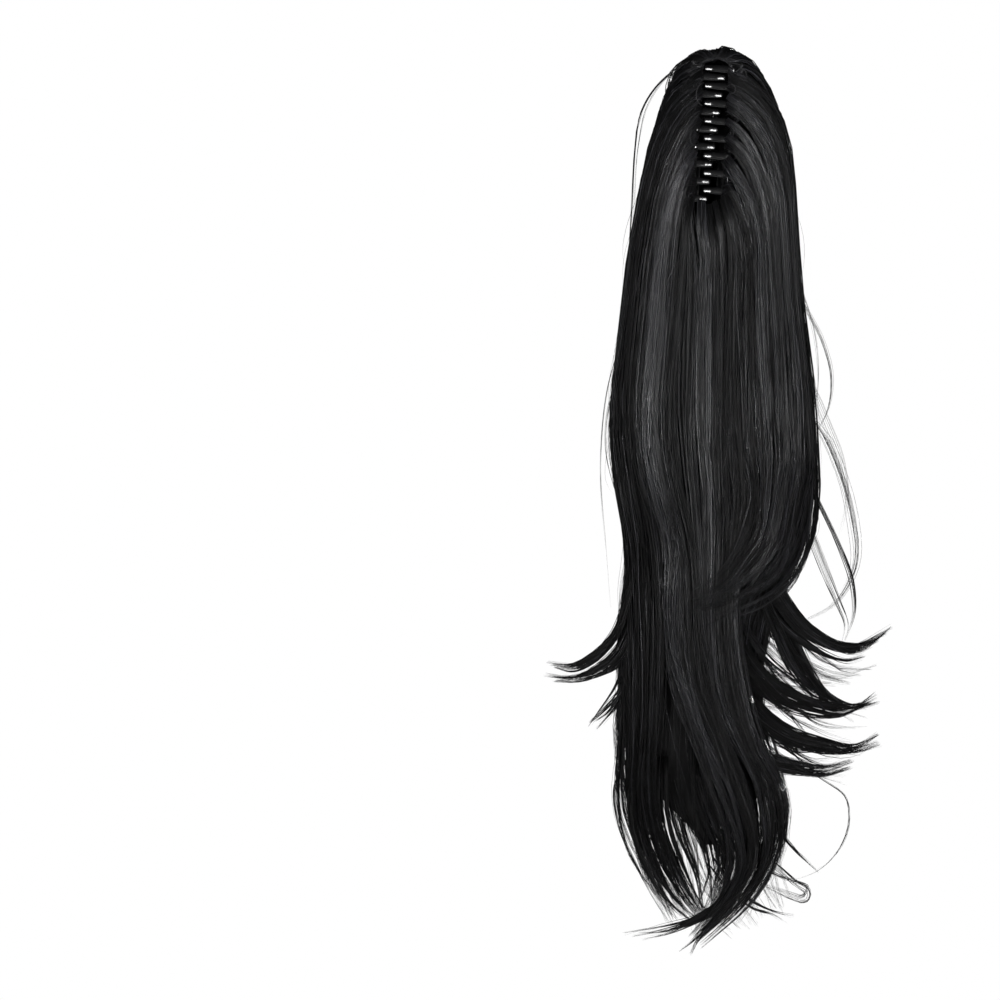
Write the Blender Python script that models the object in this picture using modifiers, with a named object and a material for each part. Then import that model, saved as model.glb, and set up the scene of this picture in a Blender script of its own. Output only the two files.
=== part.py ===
"""Claw-clip ponytail hairpiece: two toothed jaws on a pin, and a weft of hair sewn to each.

Metres, +Z up. The teeth face -Y and the hair falls towards -Z. The origin is in the space that the
closed jaws grip, halfway up the claw, where a wearer's own ponytail sits.
"""

import math
from collections import namedtuple

import bmesh
import bpy
from mathutils import Matrix, Vector

# Claw: its jaws are arcs of one ellipse in plan, and its teeth cross in front of that ellipse
TEETH_PER_JAW = 8
TOOTH_PITCH = 0.0111
JAW_END_MARGIN = 0.0030
JAW_HALF_WIDTH = 0.0155
JAW_HALF_DEPTH = 0.0155
JAW_THICKNESS = 0.0022
JAW_HINGE_ANGLE = 70.0
JAW_RAIL_ANGLE = -46.0
TOOTH_RISE = 0.0060
TOOTH_HEIGHT = 0.0036
TOOTH_DEPTH = 0.0029
TOOTH_TIP_SHARE = 0.62
TOOTH_CROSSING = 0.0075
CLAW_LEAN_DEG = 4.0

# Hinge, hidden under the hair: knuckles of both jaws on one plain pin
PIN_RADIUS = 0.0014
PIN_CLEARANCE = 0.0003
PIN_HEAD_RADIUS = 0.0027
PIN_HEAD_HEIGHT = 0.0012
KNUCKLE_WALL = 0.0016
KNUCKLE_LENGTH = 0.0085
KNUCKLE_SPACING = 0.0006
BRIDGE_SHARE = 0.7
HINGE_SETBACK = 0.0016

# Finger tabs, hidden under the hair
TAB_LENGTH = 0.0200
TAB_SPREAD = 0.0080
TAB_HEIGHT = 0.0320

# Sewn band along each rail
BAND_RADIUS = 0.0019
BAND_ANGLE = -36.0
SEAT_CLEARANCE = 0.0003

# Hair: how much of it covers the claw, and how far it falls
CROWN_COVER = 0.0095
SIDE_COVER = 0.0340
FRONT_COVER = 0.0025
BACK_COVER = 0.0065
HAIR_DROP = 0.5170
HAIR_HALF_WIDTH = 0.0660
HAIR_FRONT = 0.0270
HAIR_BACK = 0.0400
HAIR_CLEARANCE = 0.0005
WEFT_GAP = 0.0005
GROOVE_SHARE = 0.030

# Fineness of the faceted solids
HAIR_RING_POINTS = 44
LOCK_RING_POINTS = 8
LOCK_STEPS = 9
TOOTH_RING_POINTS = 10
TOOTH_STEPS = 9
ARC_STEPS = 14
ROUND_POINTS = 20
SHARP_ANGLE_DEG = 40

TEETH_SPAN = (2 * TEETH_PER_JAW - 1) * TOOTH_PITCH / 2
JAW_HALF_LENGTH = TEETH_SPAN / 2 + JAW_END_MARGIN
CLAW_CENTRE_Y = -0.0030
HINGE_Y = CLAW_CENTRE_Y + JAW_HALF_DEPTH - HINGE_SETBACK
KNUCKLE_RADIUS = PIN_RADIUS + PIN_CLEARANCE + KNUCKLE_WALL
TOOTH_FRONT_Y = (
    CLAW_CENTRE_Y + JAW_HALF_DEPTH * math.sin(math.radians(JAW_RAIL_ANGLE)) - TOOTH_RISE - TOOTH_DEPTH / 2
)
TAB_END_Y = HINGE_Y + TAB_LENGTH
SLOT_HALF_HEIGHT = JAW_HALF_LENGTH + 0.0040
CROWN_TOP = SLOT_HALF_HEIGHT + CROWN_COVER
CAP_HALF_WIDTH = JAW_HALF_WIDTH + SIDE_COVER
CAP_FRONT = -TOOTH_FRONT_Y + FRONT_COVER
CAP_BACK = TAB_END_Y + BACK_COVER
FALL_LENGTH = HAIR_DROP - SLOT_HALF_HEIGHT

# The hair around the claw: height as a share of the crown's height above the origin at the top and of
# the slot's below it, and the four sides as shares of the cap's half width, front and back
CapRow = namedtuple("CapRow", "height left right front back")
CAP_ROWS = (
    CapRow(0.975, 0.12, 0.26, 0.34, 0.42),
    CapRow(0.90, 0.35, 0.42, 0.76, 0.68),
    CapRow(0.77, 0.46, 0.56, 0.90, 0.82),
    CapRow(0.60, 0.57, 0.68, 0.95, 0.90),
    CapRow(0.38, 0.67, 0.80, 0.97, 0.95),
    CapRow(0.15, 0.75, 0.89, 0.99, 0.99),
    CapRow(-0.35, 0.85, 0.98, 1.00, 1.00),
    CapRow(-0.95, 0.95, 1.01, 1.02, 1.00),
)

# The hair below the claw: drop as a share of the fall, sides as shares of the hair's half width,
# and front and back as shares of its own reach that way
FallRow = namedtuple("FallRow", "drop left right front back")
FALL_ROWS = (
    FallRow(0.05, 0.79, 0.79, 0.92, 0.95),
    FallRow(0.13, 0.83, 0.82, 0.92, 0.88),
    FallRow(0.20, 0.90, 0.88, 0.93, 0.83),
    FallRow(0.27, 0.95, 0.91, 0.94, 0.80),
    FallRow(0.34, 0.97, 0.99, 0.97, 0.78),
    FallRow(0.40, 0.95, 1.03, 1.00, 0.78),
    FallRow(0.455, 0.88, 0.98, 1.00, 0.80),
    FallRow(0.51, 0.88, 0.87, 0.93, 0.82),
    FallRow(0.565, 0.95, 0.80, 0.86, 0.80),
    FallRow(0.62, 0.96, 0.76, 0.82, 0.76),
    FallRow(0.67, 0.98, 0.75, 0.81, 0.73),
    FallRow(0.73, 0.93, 0.75, 0.80, 0.69),
    FallRow(0.78, 0.95, 0.71, 0.77, 0.64),
    FallRow(0.835, 0.86, 0.70, 0.70, 0.57),
    FallRow(0.89, 0.70, 0.64, 0.56, 0.47),
    FallRow(0.94, 0.47, 0.47, 0.38, 0.33),
    FallRow(0.97, 0.25, 0.20, 0.20, 0.18),
)

# Flicked ends of the hair. Each is a tapering lock along a curve from inside the hair, past a bend, to a tip.
# across and depth are shares of the hair's half width, drop of the fall, and root_radius of the half width.
LockRow = namedtuple("LockRow", "weft start bend tip root_radius")
Spot = namedtuple("Spot", "across depth drop")
LOCK_ROWS = (
    LockRow("hair_left", Spot(-0.70, -0.10, 0.50), Spot(-0.98, -0.12, 0.64), Spot(-1.60, -0.20, 0.625), 0.15),
    LockRow("hair_left", Spot(-0.75, -0.18, 0.58), Spot(-0.90, -0.22, 0.68), Spot(-1.22, -0.36, 0.70), 0.09),
    LockRow("hair_left", Spot(-0.45, 0.32, 0.62), Spot(-0.95, 0.52, 0.76), Spot(-1.15, 0.62, 0.740), 0.10),
    LockRow("hair_left", Spot(-0.20, -0.16, 0.44), Spot(-0.22, -0.46, 0.57), Spot(-0.36, -0.62, 0.560), 0.09),
    LockRow("hair_left", Spot(-0.18, -0.06, 0.84), Spot(-0.18, -0.08, 0.97), Spot(-0.26, -0.10, 1.000), 0.12),
    LockRow("hair_left", Spot(-0.40, -0.02, 0.86), Spot(-0.52, -0.04, 0.985), Spot(-1.02, -0.10, 0.975), 0.12),
    LockRow("hair_right", Spot(0.50, -0.08, 0.50), Spot(1.10, -0.10, 0.64), Spot(1.68, -0.16, 0.575), 0.16),
    LockRow("hair_right", Spot(0.45, -0.20, 0.58), Spot(0.95, -0.34, 0.71), Spot(1.52, -0.30, 0.660), 0.13),
    LockRow("hair_right", Spot(0.45, -0.12, 0.66), Spot(0.90, -0.20, 0.76), Spot(1.44, -0.22, 0.770), 0.11),
    LockRow("hair_right", Spot(0.48, -0.06, 0.76), Spot(0.95, -0.08, 0.86), Spot(0.92, -0.10, 0.925), 0.08),
    LockRow("hair_right", Spot(0.40, 0.34, 0.58), Spot(0.95, 0.48, 0.74), Spot(1.58, 0.42, 0.725), 0.13),
    LockRow("hair_right", Spot(0.45, 0.30, 0.40), Spot(1.15, 0.52, 0.54), Spot(1.34, 0.44, 0.610), 0.09),
    LockRow("hair_right", Spot(0.18, 0.28, 0.66), Spot(0.22, 0.62, 0.80), Spot(0.40, 0.86, 0.790), 0.11),
    LockRow("hair_right", Spot(0.25, 0.20, 0.86), Spot(0.45, 0.28, 0.96), Spot(0.80, 0.36, 0.955), 0.10),
)
LOCK_TIP_SHARE = 0.12

HAIR_COLOUR = (0.012, 0.012, 0.014, 1)
CLAW_COLOUR = (0.010, 0.010, 0.011, 1)
PIN_COLOUR = (0.35, 0.35, 0.36, 1)
BAND_COLOUR = (0.015, 0.015, 0.017, 1)


def clear_scene():
    """Removes the startup objects."""
    for obj in list(bpy.data.objects):
        bpy.data.objects.remove(obj)


def collection_named(name):
    """A new collection in the scene."""
    made = bpy.data.collections.new(name)
    bpy.context.scene.collection.children.link(made)
    return made


def material_named(name, colour, roughness, metallic=0.0):
    """A Principled BSDF with one colour."""
    made = bpy.data.materials.new(name)
    made.use_nodes = True
    shader = made.node_tree.nodes["Principled BSDF"]
    shader.inputs["Base Color"].default_value = colour
    shader.inputs["Roughness"].default_value = roughness
    shader.inputs["Metallic"].default_value = metallic
    return made


def object_from(name, mesh, collection, material=None, parent=None):
    """An object in a collection, with its material and its parent empty."""
    obj = bpy.data.objects.new(name, mesh)
    collection.objects.link(obj)
    if material:
        mesh.materials.append(material)
    obj.parent = parent
    return obj


def lofted_mesh(name, rings):
    """A closed mesh through rings of equal count, with a flat cap on each end."""
    bm = bmesh.new()
    rows = [[bm.verts.new(point) for point in ring] for ring in rings]
    count = len(rings[0])
    for lower, upper in zip(rows, rows[1:]):
        for i in range(count):
            j = (i + 1) % count
            bm.faces.new((lower[i], lower[j], upper[j], upper[i]))
    bm.faces.new(rows[0][::-1])
    bm.faces.new(rows[-1])
    return mesh_from(name, bm)


def mesh_from(name, bm):
    """A mesh of what a bmesh holds, shaded smooth but for its sharp edges."""
    mesh = bpy.data.meshes.new(name)
    bmesh.ops.recalc_face_normals(bm, faces=bm.faces)
    bm.to_mesh(mesh)
    bm.free()
    mesh.shade_smooth()
    mesh.set_sharp_from_angle(angle=math.radians(SHARP_ANGLE_DEG))
    return mesh


def prism_mesh(name, outline, low, high):
    """A flat outline in plan, extruded from one height to another."""
    bm = bmesh.new()
    base = bm.faces.new([bm.verts.new((x, y, low)) for x, y in outline])
    raised = bmesh.ops.extrude_face_region(bm, geom=[base], use_keep_orig=True)["geom"]
    corners = [element for element in raised if isinstance(element, bmesh.types.BMVert)]
    bmesh.ops.translate(bm, verts=corners, vec=(0, 0, high - low))
    return mesh_from(name, bm)


def box_mesh(name, low, high):
    """A box between two corners."""
    low, high = Vector(low), Vector(high)
    bm = bmesh.new()
    bmesh.ops.create_cube(bm, size=1.0, matrix=Matrix.LocRotScale((low + high) / 2, None, high - low))
    return mesh_from(name, bm)


def cylinder_mesh(name, radius, low, high, x=0.0, y=0.0):
    """An upright cylinder."""
    place = Matrix.Translation((x, y, (low + high) / 2))
    sizes = {"radius1": radius, "radius2": radius, "depth": high - low}
    bm = bmesh.new()
    bmesh.ops.create_cone(bm, cap_ends=True, segments=ROUND_POINTS, matrix=place, **sizes)
    return mesh_from(name, bm)


def helper(name, mesh, collection, parent=None):
    """A cutter or a shape that is joined in: it isn't a part itself."""
    obj = object_from(name, mesh, collection, parent=parent)
    obj.hide_render = True
    obj.display_type = "WIRE"
    return obj


def add_boolean(target, other, operation):
    """A Boolean modifier left on the target."""
    modifier = target.modifiers.new(other.name, "BOOLEAN")
    modifier.operation = operation
    modifier.object = other


def jaw_arc_point(angle_deg, offset=0.0):
    """A point of the jaws' ellipse in plan, moved outwards along its normal."""
    angle = math.radians(angle_deg)
    point = Vector((JAW_HALF_WIDTH * math.cos(angle), JAW_HALF_DEPTH * math.sin(angle)))
    normal = Vector((math.cos(angle) / JAW_HALF_WIDTH, math.sin(angle) / JAW_HALF_DEPTH)).normalized()
    return Vector((0, CLAW_CENTRE_Y)) + point + normal * offset


def jaw_arc(start_deg, end_deg, offset):
    """Points along the jaws' ellipse."""
    return [
        jaw_arc_point(start_deg + (end_deg - start_deg) * i / ARC_STEPS, offset) for i in range(ARC_STEPS + 1)
    ]


def tooth_rings(height):
    """Rings of one tooth of the right jaw: an arc from the rail, forwards and across, to a rounded tip."""
    root = jaw_arc_point(JAW_RAIL_ANGLE)
    tip_x = -TOOTH_CROSSING
    chord = root.x - tip_x
    radius = (chord * chord / 4 + TOOTH_RISE * TOOTH_RISE) / (2 * TOOTH_RISE)
    centre = Vector((root.x - chord / 2, root.y - TOOTH_RISE + radius))
    half_sweep = math.asin(chord / 2 / radius)
    rings = []
    for step in range(TOOTH_STEPS + 1):
        along = step / TOOTH_STEPS
        angle = half_sweep * (1 - 2 * along)
        outward = Vector((math.sin(angle), -math.cos(angle)))
        round_off = math.sqrt(max(0.08, 1 - max(0.0, (along - 0.86) / 0.14) ** 2))
        size = (1 - (1 - TOOTH_TIP_SHARE) * along) * round_off
        ring = []
        for i in range(TOOTH_RING_POINTS):
            turn = 2 * math.pi * i / TOOTH_RING_POINTS
            across = centre + outward * (radius + TOOTH_DEPTH / 2 * size * math.cos(turn))
            ring.append((across.x, across.y, height + TOOTH_HEIGHT / 2 * size * math.sin(turn)))
        rings.append(ring)
    return rings


def mirrored(rings):
    """The same rings on the other side of the claw."""
    return [[(-x, y, z) for x, y, z in ring] for ring in rings]


def jaw_wall_mesh(name, side):
    """One jaw's wall as an open sheet, from its hinge end round to its rail."""
    bm = bmesh.new()
    line = mirror_outline(jaw_arc(JAW_HINGE_ANGLE, JAW_RAIL_ANGLE, 0.0), side)
    corners = [bm.verts.new((x, y, -JAW_HALF_LENGTH)) for x, y in line]
    edges = [bm.edges.new(pair) for pair in zip(corners, corners[1:])]
    raised = bmesh.ops.extrude_edge_only(bm, edges=edges)["geom"]
    tops = [element for element in raised if isinstance(element, bmesh.types.BMVert)]
    bmesh.ops.translate(bm, verts=tops, vec=(0, 0, 2 * JAW_HALF_LENGTH))
    return mesh_from(name, bm)


def add_thickness(target, thickness):
    """A Solidify modifier that thickens a sheet evenly to both sides."""
    modifier = target.modifiers.new("thickness", "SOLIDIFY")
    modifier.thickness = thickness
    modifier.offset = 0
    modifier.use_even_offset = True


def tab_outline():
    """The right jaw's finger tab in plan, which starts inside the wall's hinge end."""
    start = jaw_arc_point(JAW_HINGE_ANGLE - 6)
    end = Vector((start.x + TAB_SPREAD, TAB_END_Y))
    side = (end - start).orthogonal().normalized() * JAW_THICKNESS / 2
    return [start + side, end + side, end - side, start - side]


def knuckle_heights(is_right):
    """Middles of one jaw's knuckles, which alternate with the other jaw's."""
    step = KNUCKLE_LENGTH + KNUCKLE_SPACING
    first = -1.5 if is_right else -0.5
    return [(first + 2 * i) * step for i in range(2)]


def mirror_outline(outline, side):
    return [(side * x, y) for x, y in outline]


def build_jaw(name, side, parts, helpers, claw_axis, material):
    """One jaw: a curved wall with its teeth, finger tab and hinge knuckles joined on."""
    jaw = object_from(name, jaw_wall_mesh(name, side), parts, material, claw_axis)
    add_thickness(jaw, JAW_THICKNESS)
    tab = prism_mesh(f"{name}_tab", mirror_outline(tab_outline(), side), -TAB_HEIGHT / 2, TAB_HEIGHT / 2)
    add_boolean(jaw, helper(f"{name}_tab", tab, helpers, claw_axis), "UNION")
    first = TEETH_SPAN / 2 if side > 0 else TEETH_SPAN / 2 - TOOTH_PITCH / 2
    for number in range(TEETH_PER_JAW):
        rings = tooth_rings(first - number * TOOTH_PITCH)
        tooth = lofted_mesh(f"{name}_tooth_{number + 1}", rings if side > 0 else mirrored(rings))
        add_boolean(jaw, helper(tooth.name, tooth, helpers, claw_axis), "UNION")
    bridge_x = jaw_arc_point(JAW_HINGE_ANGLE).x
    for number, middle in enumerate(knuckle_heights(side > 0)):
        low, high = middle - KNUCKLE_LENGTH / 2, middle + KNUCKLE_LENGTH / 2
        knuckle = cylinder_mesh(f"{name}_knuckle_{number + 1}", KNUCKLE_RADIUS, low, high, y=HINGE_Y)
        add_boolean(jaw, helper(knuckle.name, knuckle, helpers, claw_axis), "UNION")
        ends = sorted((0.0, side * bridge_x))
        reach = KNUCKLE_RADIUS * BRIDGE_SHARE
        corners = (ends[0], HINGE_Y - reach, low), (ends[1], HINGE_Y + reach, high)
        bridge = box_mesh(f"{name}_bridge_{number + 1}", *corners)
        add_boolean(jaw, helper(bridge.name, bridge, helpers, claw_axis), "UNION")
    bore_radius = PIN_RADIUS + PIN_CLEARANCE
    bore = cylinder_mesh(f"{name}_bore", bore_radius, -JAW_HALF_LENGTH, JAW_HALF_LENGTH, y=HINGE_Y)
    add_boolean(jaw, helper(bore.name, bore, helpers, claw_axis), "DIFFERENCE")
    return jaw


def build_pin(parts, helpers, claw_axis, material):
    """The hinge pin: a plain rod with a flat head on each end."""
    reach = 2 * KNUCKLE_LENGTH + 1.5 * KNUCKLE_SPACING + PIN_CLEARANCE
    rod_end = reach + PIN_HEAD_HEIGHT / 2
    rod = cylinder_mesh("hinge_pin", PIN_RADIUS, -rod_end, rod_end, y=HINGE_Y)
    pin = object_from("hinge_pin", rod, parts, material, claw_axis)
    for end, low in (("top", reach), ("bottom", -reach - PIN_HEAD_HEIGHT)):
        head = cylinder_mesh(f"pin_head_{end}", PIN_HEAD_RADIUS, low, low + PIN_HEAD_HEIGHT, y=HINGE_Y)
        add_boolean(pin, helper(head.name, head, helpers, claw_axis), "UNION")


def band_centre(side):
    """Where a band's centre line runs, just outside the jaw's wall beside its rail."""
    centre = jaw_arc_point(BAND_ANGLE, JAW_THICKNESS / 2 + SEAT_CLEARANCE + BAND_RADIUS)
    return side * centre.x, centre.y


def build_band(name, side, parts, claw_axis, material):
    """The sewn band that holds the hair to one jaw, a round cord along its rail."""
    x, y = band_centre(side)
    band = cylinder_mesh(name, BAND_RADIUS, -JAW_HALF_LENGTH, JAW_HALF_LENGTH, x, y)
    object_from(name, band, parts, material, claw_axis)


def groove(turn, level):
    """How far the hair's surface stands in or out, as a share: lengthwise locks that drift as they fall."""
    wide = math.cos(7 * turn + 2.5 * math.sin(2.2 * level) + 0.6)
    fine = math.cos(12 * turn - 3.0 * level + 1.9)
    return 1 + GROOVE_SHARE * (0.6 * wide + 0.4 * fine) * min(1.0, 0.35 + level)


def hair_ring(height, left, right, front, back, level):
    """One ring of the hair's outer form."""
    centre = Vector(((right - left) / 2, (back - front) / 2))
    half = Vector(((right + left) / 2, (front + back) / 2))
    ring = []
    for i in range(HAIR_RING_POINTS):
        turn = 2 * math.pi * i / HAIR_RING_POINTS
        reach = groove(turn, level)
        ring.append(
            (centre.x + half.x * reach * math.cos(turn), centre.y + half.y * reach * math.sin(turn), height)
        )
    return ring


def hair_rings():
    """Rings of the whole hair, from the crown down."""
    rings = []
    for row in CAP_ROWS:
        height = row.height * (CROWN_TOP if row.height > 0 else SLOT_HALF_HEIGHT)
        sides = (
            row.left * CAP_HALF_WIDTH,
            row.right * CAP_HALF_WIDTH,
            row.front * CAP_FRONT,
            row.back * CAP_BACK,
        )
        rings.append(hair_ring(height, *sides, 0.0))
    for row in FALL_ROWS:
        height = -SLOT_HALF_HEIGHT - row.drop * FALL_LENGTH
        sides = (
            row.left * HAIR_HALF_WIDTH,
            row.right * HAIR_HALF_WIDTH,
            row.front * HAIR_FRONT,
            row.back * HAIR_BACK,
        )
        rings.append(hair_ring(height, *sides, row.drop))
    return rings


def lock_point(spot):
    """A spot of the table as a real place."""
    return Vector(
        (
            spot.across * HAIR_HALF_WIDTH,
            spot.depth * HAIR_HALF_WIDTH,
            -SLOT_HALF_HEIGHT - spot.drop * FALL_LENGTH,
        )
    )


def lock_rings(row):
    """Rings of one flicked lock, round its curve and narrowing to its tip."""
    start, bend, tip = (lock_point(spot) for spot in (row.start, row.bend, row.tip))
    rings = []
    for step in range(LOCK_STEPS + 1):
        along = step / LOCK_STEPS
        place = start * (1 - along) ** 2 + bend * 2 * along * (1 - along) + tip * along**2
        heading = ((bend - start) * (1 - along) + (tip - bend) * along).normalized()
        side = heading.cross(Vector((0, 1, 0))).normalized()
        front = side.cross(heading)
        radius = row.root_radius * HAIR_HALF_WIDTH * (1 - (1 - LOCK_TIP_SHARE) * along**1.5)
        turns = [2 * math.pi * i / LOCK_RING_POINTS for i in range(LOCK_RING_POINTS)]
        rings.append([place + (side * math.cos(t) + front * 0.7 * math.sin(t)) * radius for t in turns])
    return rings


def claw_room_outline():
    """The space that the hair leaves for the claw, in plan: round the jaws and bands, and open to the front."""
    wall = JAW_THICKNESS / 2 + HAIR_CLEARANCE
    band_x, band_y = band_centre(1)
    slot = band_x + BAND_RADIUS + HAIR_CLEARANCE
    back = jaw_arc(JAW_HINGE_ANGLE, 0, wall)
    back_y = HINGE_Y + KNUCKLE_RADIUS + HAIR_CLEARANCE
    front_y = -2 * CAP_FRONT
    right = [(0.0, back_y), (back[0].x, back_y)] + [(x, y) for x, y in back]
    right += [(max(slot, back[-1].x), band_y + BAND_RADIUS), (slot, band_y), (slot, front_y)]
    return right + [(-x, y) for x, y in right[:0:-1]]


def tab_room_outline():
    """The space that the hair leaves for both finger tabs, in plan."""
    start = jaw_arc_point(JAW_HINGE_ANGLE - 6)
    end_x = start.x + TAB_SPREAD + JAW_THICKNESS + HAIR_CLEARANCE
    start_x = start.x + JAW_THICKNESS + HAIR_CLEARANCE
    end_y = TAB_END_Y + JAW_THICKNESS / 2 + HAIR_CLEARANCE
    return [(start_x, CLAW_CENTRE_Y), (end_x, end_y), (-end_x, end_y), (-start_x, CLAW_CENTRE_Y)]


def weft_box(side):
    """One weft's half of the hair, as a box that stops short of the other's."""
    far = 2 * (HAIR_DROP + HAIR_HALF_WIDTH)
    ends = sorted((side * WEFT_GAP / 2, side * far))
    return (ends[0], -far, -far), (ends[1], far, far)


def build_hair(parts, helpers, claw_axis, material):
    """The hair of both wefts, cut from one outer form with a room for the claw in it."""
    claw_room = prism_mesh("claw_room", claw_room_outline(), -SLOT_HALF_HEIGHT, SLOT_HALF_HEIGHT)
    tab_room = prism_mesh(
        "tab_room", tab_room_outline(), -TAB_HEIGHT / 2 - HAIR_CLEARANCE, TAB_HEIGHT / 2 + HAIR_CLEARANCE
    )
    rooms = [
        helper("claw_room", claw_room, helpers, claw_axis),
        helper("tab_room", tab_room, helpers, claw_axis),
    ]
    for name, side in (("hair_left", -1), ("hair_right", 1)):
        weft = object_from(name, lofted_mesh(name, hair_rings()), parts, material)
        for number, row in enumerate(LOCK_ROWS):
            if row.weft == name:
                lock = lofted_mesh(f"{name}_lock_{number + 1}", lock_rings(row))
                add_boolean(weft, helper(lock.name, lock, helpers), "UNION")
        half = box_mesh(f"{name}_half", *weft_box(side))
        add_boolean(weft, helper(half.name, half, helpers), "INTERSECT")
        for room in rooms:
            add_boolean(weft, room, "DIFFERENCE")


def main():
    clear_scene()
    parts = collection_named("ponytail_hairpiece")
    helpers = collection_named("cutters")
    claw_axis = bpy.data.objects.new("claw_axis", None)
    claw_axis.rotation_euler = (0, math.radians(CLAW_LEAN_DEG), 0)
    parts.objects.link(claw_axis)
    hair = material_named("hair", HAIR_COLOUR, 0.38)
    plastic = material_named("claw_plastic", CLAW_COLOUR, 0.12)
    steel = material_named("pin_steel", PIN_COLOUR, 0.35, 1.0)
    thread = material_named("band_thread", BAND_COLOUR, 0.75)
    build_jaw("jaw_left", -1, parts, helpers, claw_axis, plastic)
    build_jaw("jaw_right", 1, parts, helpers, claw_axis, plastic)
    build_pin(parts, helpers, claw_axis, steel)
    build_band("band_left", -1, parts, claw_axis, thread)
    build_band("band_right", 1, parts, claw_axis, thread)
    build_hair(parts, helpers, claw_axis, hair)


main()
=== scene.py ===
# %% [markdown]
# # A black claw-clip ponytail, strand by strand
# The real piece is a toothed plastic claw with wefts of long synthetic hair sewn along both of its jaws.
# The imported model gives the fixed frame: where the claw is, and the outer form that the hair fills. This
# lesson grows the visible hair inside that form, one thin tube for each strand, and gives it its finish.

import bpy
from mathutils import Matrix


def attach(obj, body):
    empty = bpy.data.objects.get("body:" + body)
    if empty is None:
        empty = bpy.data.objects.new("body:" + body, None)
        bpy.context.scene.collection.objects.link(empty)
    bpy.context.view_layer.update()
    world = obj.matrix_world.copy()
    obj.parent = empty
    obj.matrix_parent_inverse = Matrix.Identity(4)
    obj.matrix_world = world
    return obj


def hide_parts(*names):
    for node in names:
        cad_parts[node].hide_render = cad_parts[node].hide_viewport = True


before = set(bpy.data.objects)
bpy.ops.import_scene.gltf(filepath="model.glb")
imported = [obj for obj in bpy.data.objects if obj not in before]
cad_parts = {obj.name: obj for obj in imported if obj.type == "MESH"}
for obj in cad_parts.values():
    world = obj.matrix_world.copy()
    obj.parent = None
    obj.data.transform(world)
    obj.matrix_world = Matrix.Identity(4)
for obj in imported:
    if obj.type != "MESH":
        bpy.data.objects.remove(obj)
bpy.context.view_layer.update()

# %% [markdown]
# All lengths below are in millimetres, as a maker would write them, and become metres only where a mesh is
# made. NumPy works out thousands of strands at once, and its random numbers start from a fixed seed, so the
# hair comes out the same in every run.

# %% Modules and units
import math
from collections import defaultdict, namedtuple

import bmesh
import bpy
import numpy as np
from mathutils import Vector

MM = 0.001
random = np.random.default_rng(20)

# %% [markdown]
# ## Writing shaders as sums
# Node trees are easier to read as Python expressions. `Wire` holds one output of a node. Adding or
# multiplying wires adds Math nodes, and `node` makes any other node: its settings are set first, because
# they decide which sockets it has, and then the values or links of its sockets.

# %% A small class for node sockets
class Wire:
    """One socket of a node tree, which takes part in Python expressions."""

    def __init__(self, tree, socket=None):
        self.tree, self.socket = tree, socket

    def node(self, kind, settings=None, sockets=None, output=0):
        made = self.tree.nodes.new(kind)
        for name, value in (settings or {}).items():
            setattr(made, name, value)
        for name, value in (sockets or {}).items():
            if isinstance(value, Wire):
                self.tree.links.new(value.socket, made.inputs[name])
            else:
                made.inputs[name].default_value = value
        return Wire(self.tree, made.outputs[output] if len(made.outputs) else None)

    def math(self, operation, first, second):
        return self.node("ShaderNodeMath", {"operation": operation}, {0: first, 1: second})

    def __add__(self, other):
        return self.math("ADD", self, other)

    def __radd__(self, other):
        return self.math("ADD", other, self)

    def __sub__(self, other):
        return self.math("SUBTRACT", self, other)

    def __rsub__(self, other):
        return self.math("SUBTRACT", other, self)

    def __mul__(self, other):
        return self.math("MULTIPLY", self, other)

    def __rmul__(self, other):
        return self.math("MULTIPLY", other, self)


def mixed(share, first, second):
    """A colour between two colours."""
    settings = {"data_type": "RGBA"}
    return share.node("ShaderNodeMix", settings, {0: share, 6: (*first, 1), 7: (*second, 1)}, output=2)


def new_finish(name):
    """An empty material, and the wire that its nodes start from."""
    made = bpy.data.materials.new(name)
    made.use_nodes = True
    made.node_tree.nodes.clear()
    return made, Wire(made.node_tree)


def close_finish(start, sockets):
    """A Principled BSDF with these sockets, joined to the material's output."""
    shader = start.node("ShaderNodeBsdfPrincipled", None, sockets)
    start.node("ShaderNodeOutputMaterial", None, {"Surface": shader})


print("shader helpers ready")

# %% [markdown]
# ## The finish of the hair
# Black synthetic fibre is nearly free of colour: what the eye sees is a soft grey sheen along the strands.
# Each strand carries a `tone`, written on its mesh later, so that neighbours differ as real ones do. A light
# strand is smoother, and its colour is paler as painted sheen: the tone is cubed, so that only the lightest
# few stand out. Slow noise along the hair breaks the sheen into patches, in its roughness and as painted
# paler patches in its colour. The hair beneath and at the left gets a copy of the same finish with less
# gloss, as painted shade: it looks darker, as hair in shade does.

# %% Finish: hair fibre
DARK_STRAND, PALE_STRAND_AND_SHEEN = (0.0010, 0.0010, 0.0012), (0.040, 0.040, 0.0445)


def hair_finish(name, rough, gloss):
    made, start = new_finish(name)
    tone = start.node("ShaderNodeAttribute", {"attribute_name": "tone"}, output=2)
    place = start.node("ShaderNodeTexCoord", output=3)
    drawn_out = start.node("ShaderNodeMapping", None, {"Vector": place, "Scale": (90, 90, 14)})
    patches = start.node("ShaderNodeTexNoise", None, {"Vector": drawn_out, "Scale": 1.0, "Detail": 2.0})
    # The paler colour here is partly random tone and partly painted sheen.
    pale_tone_and_sheen = tone * tone * tone * (0.5 + patches)
    sockets = {
        "Base Color": mixed(pale_tone_and_sheen, DARK_STRAND, PALE_STRAND_AND_SHEEN),
        "Roughness": rough + 0.16 * patches - 0.42 * tone,
        "Specular IOR Level": gloss,
    }
    close_finish(start, sockets)
    return made


fibre = hair_finish("black_fibre", rough=0.53, gloss=0.30)
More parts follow.
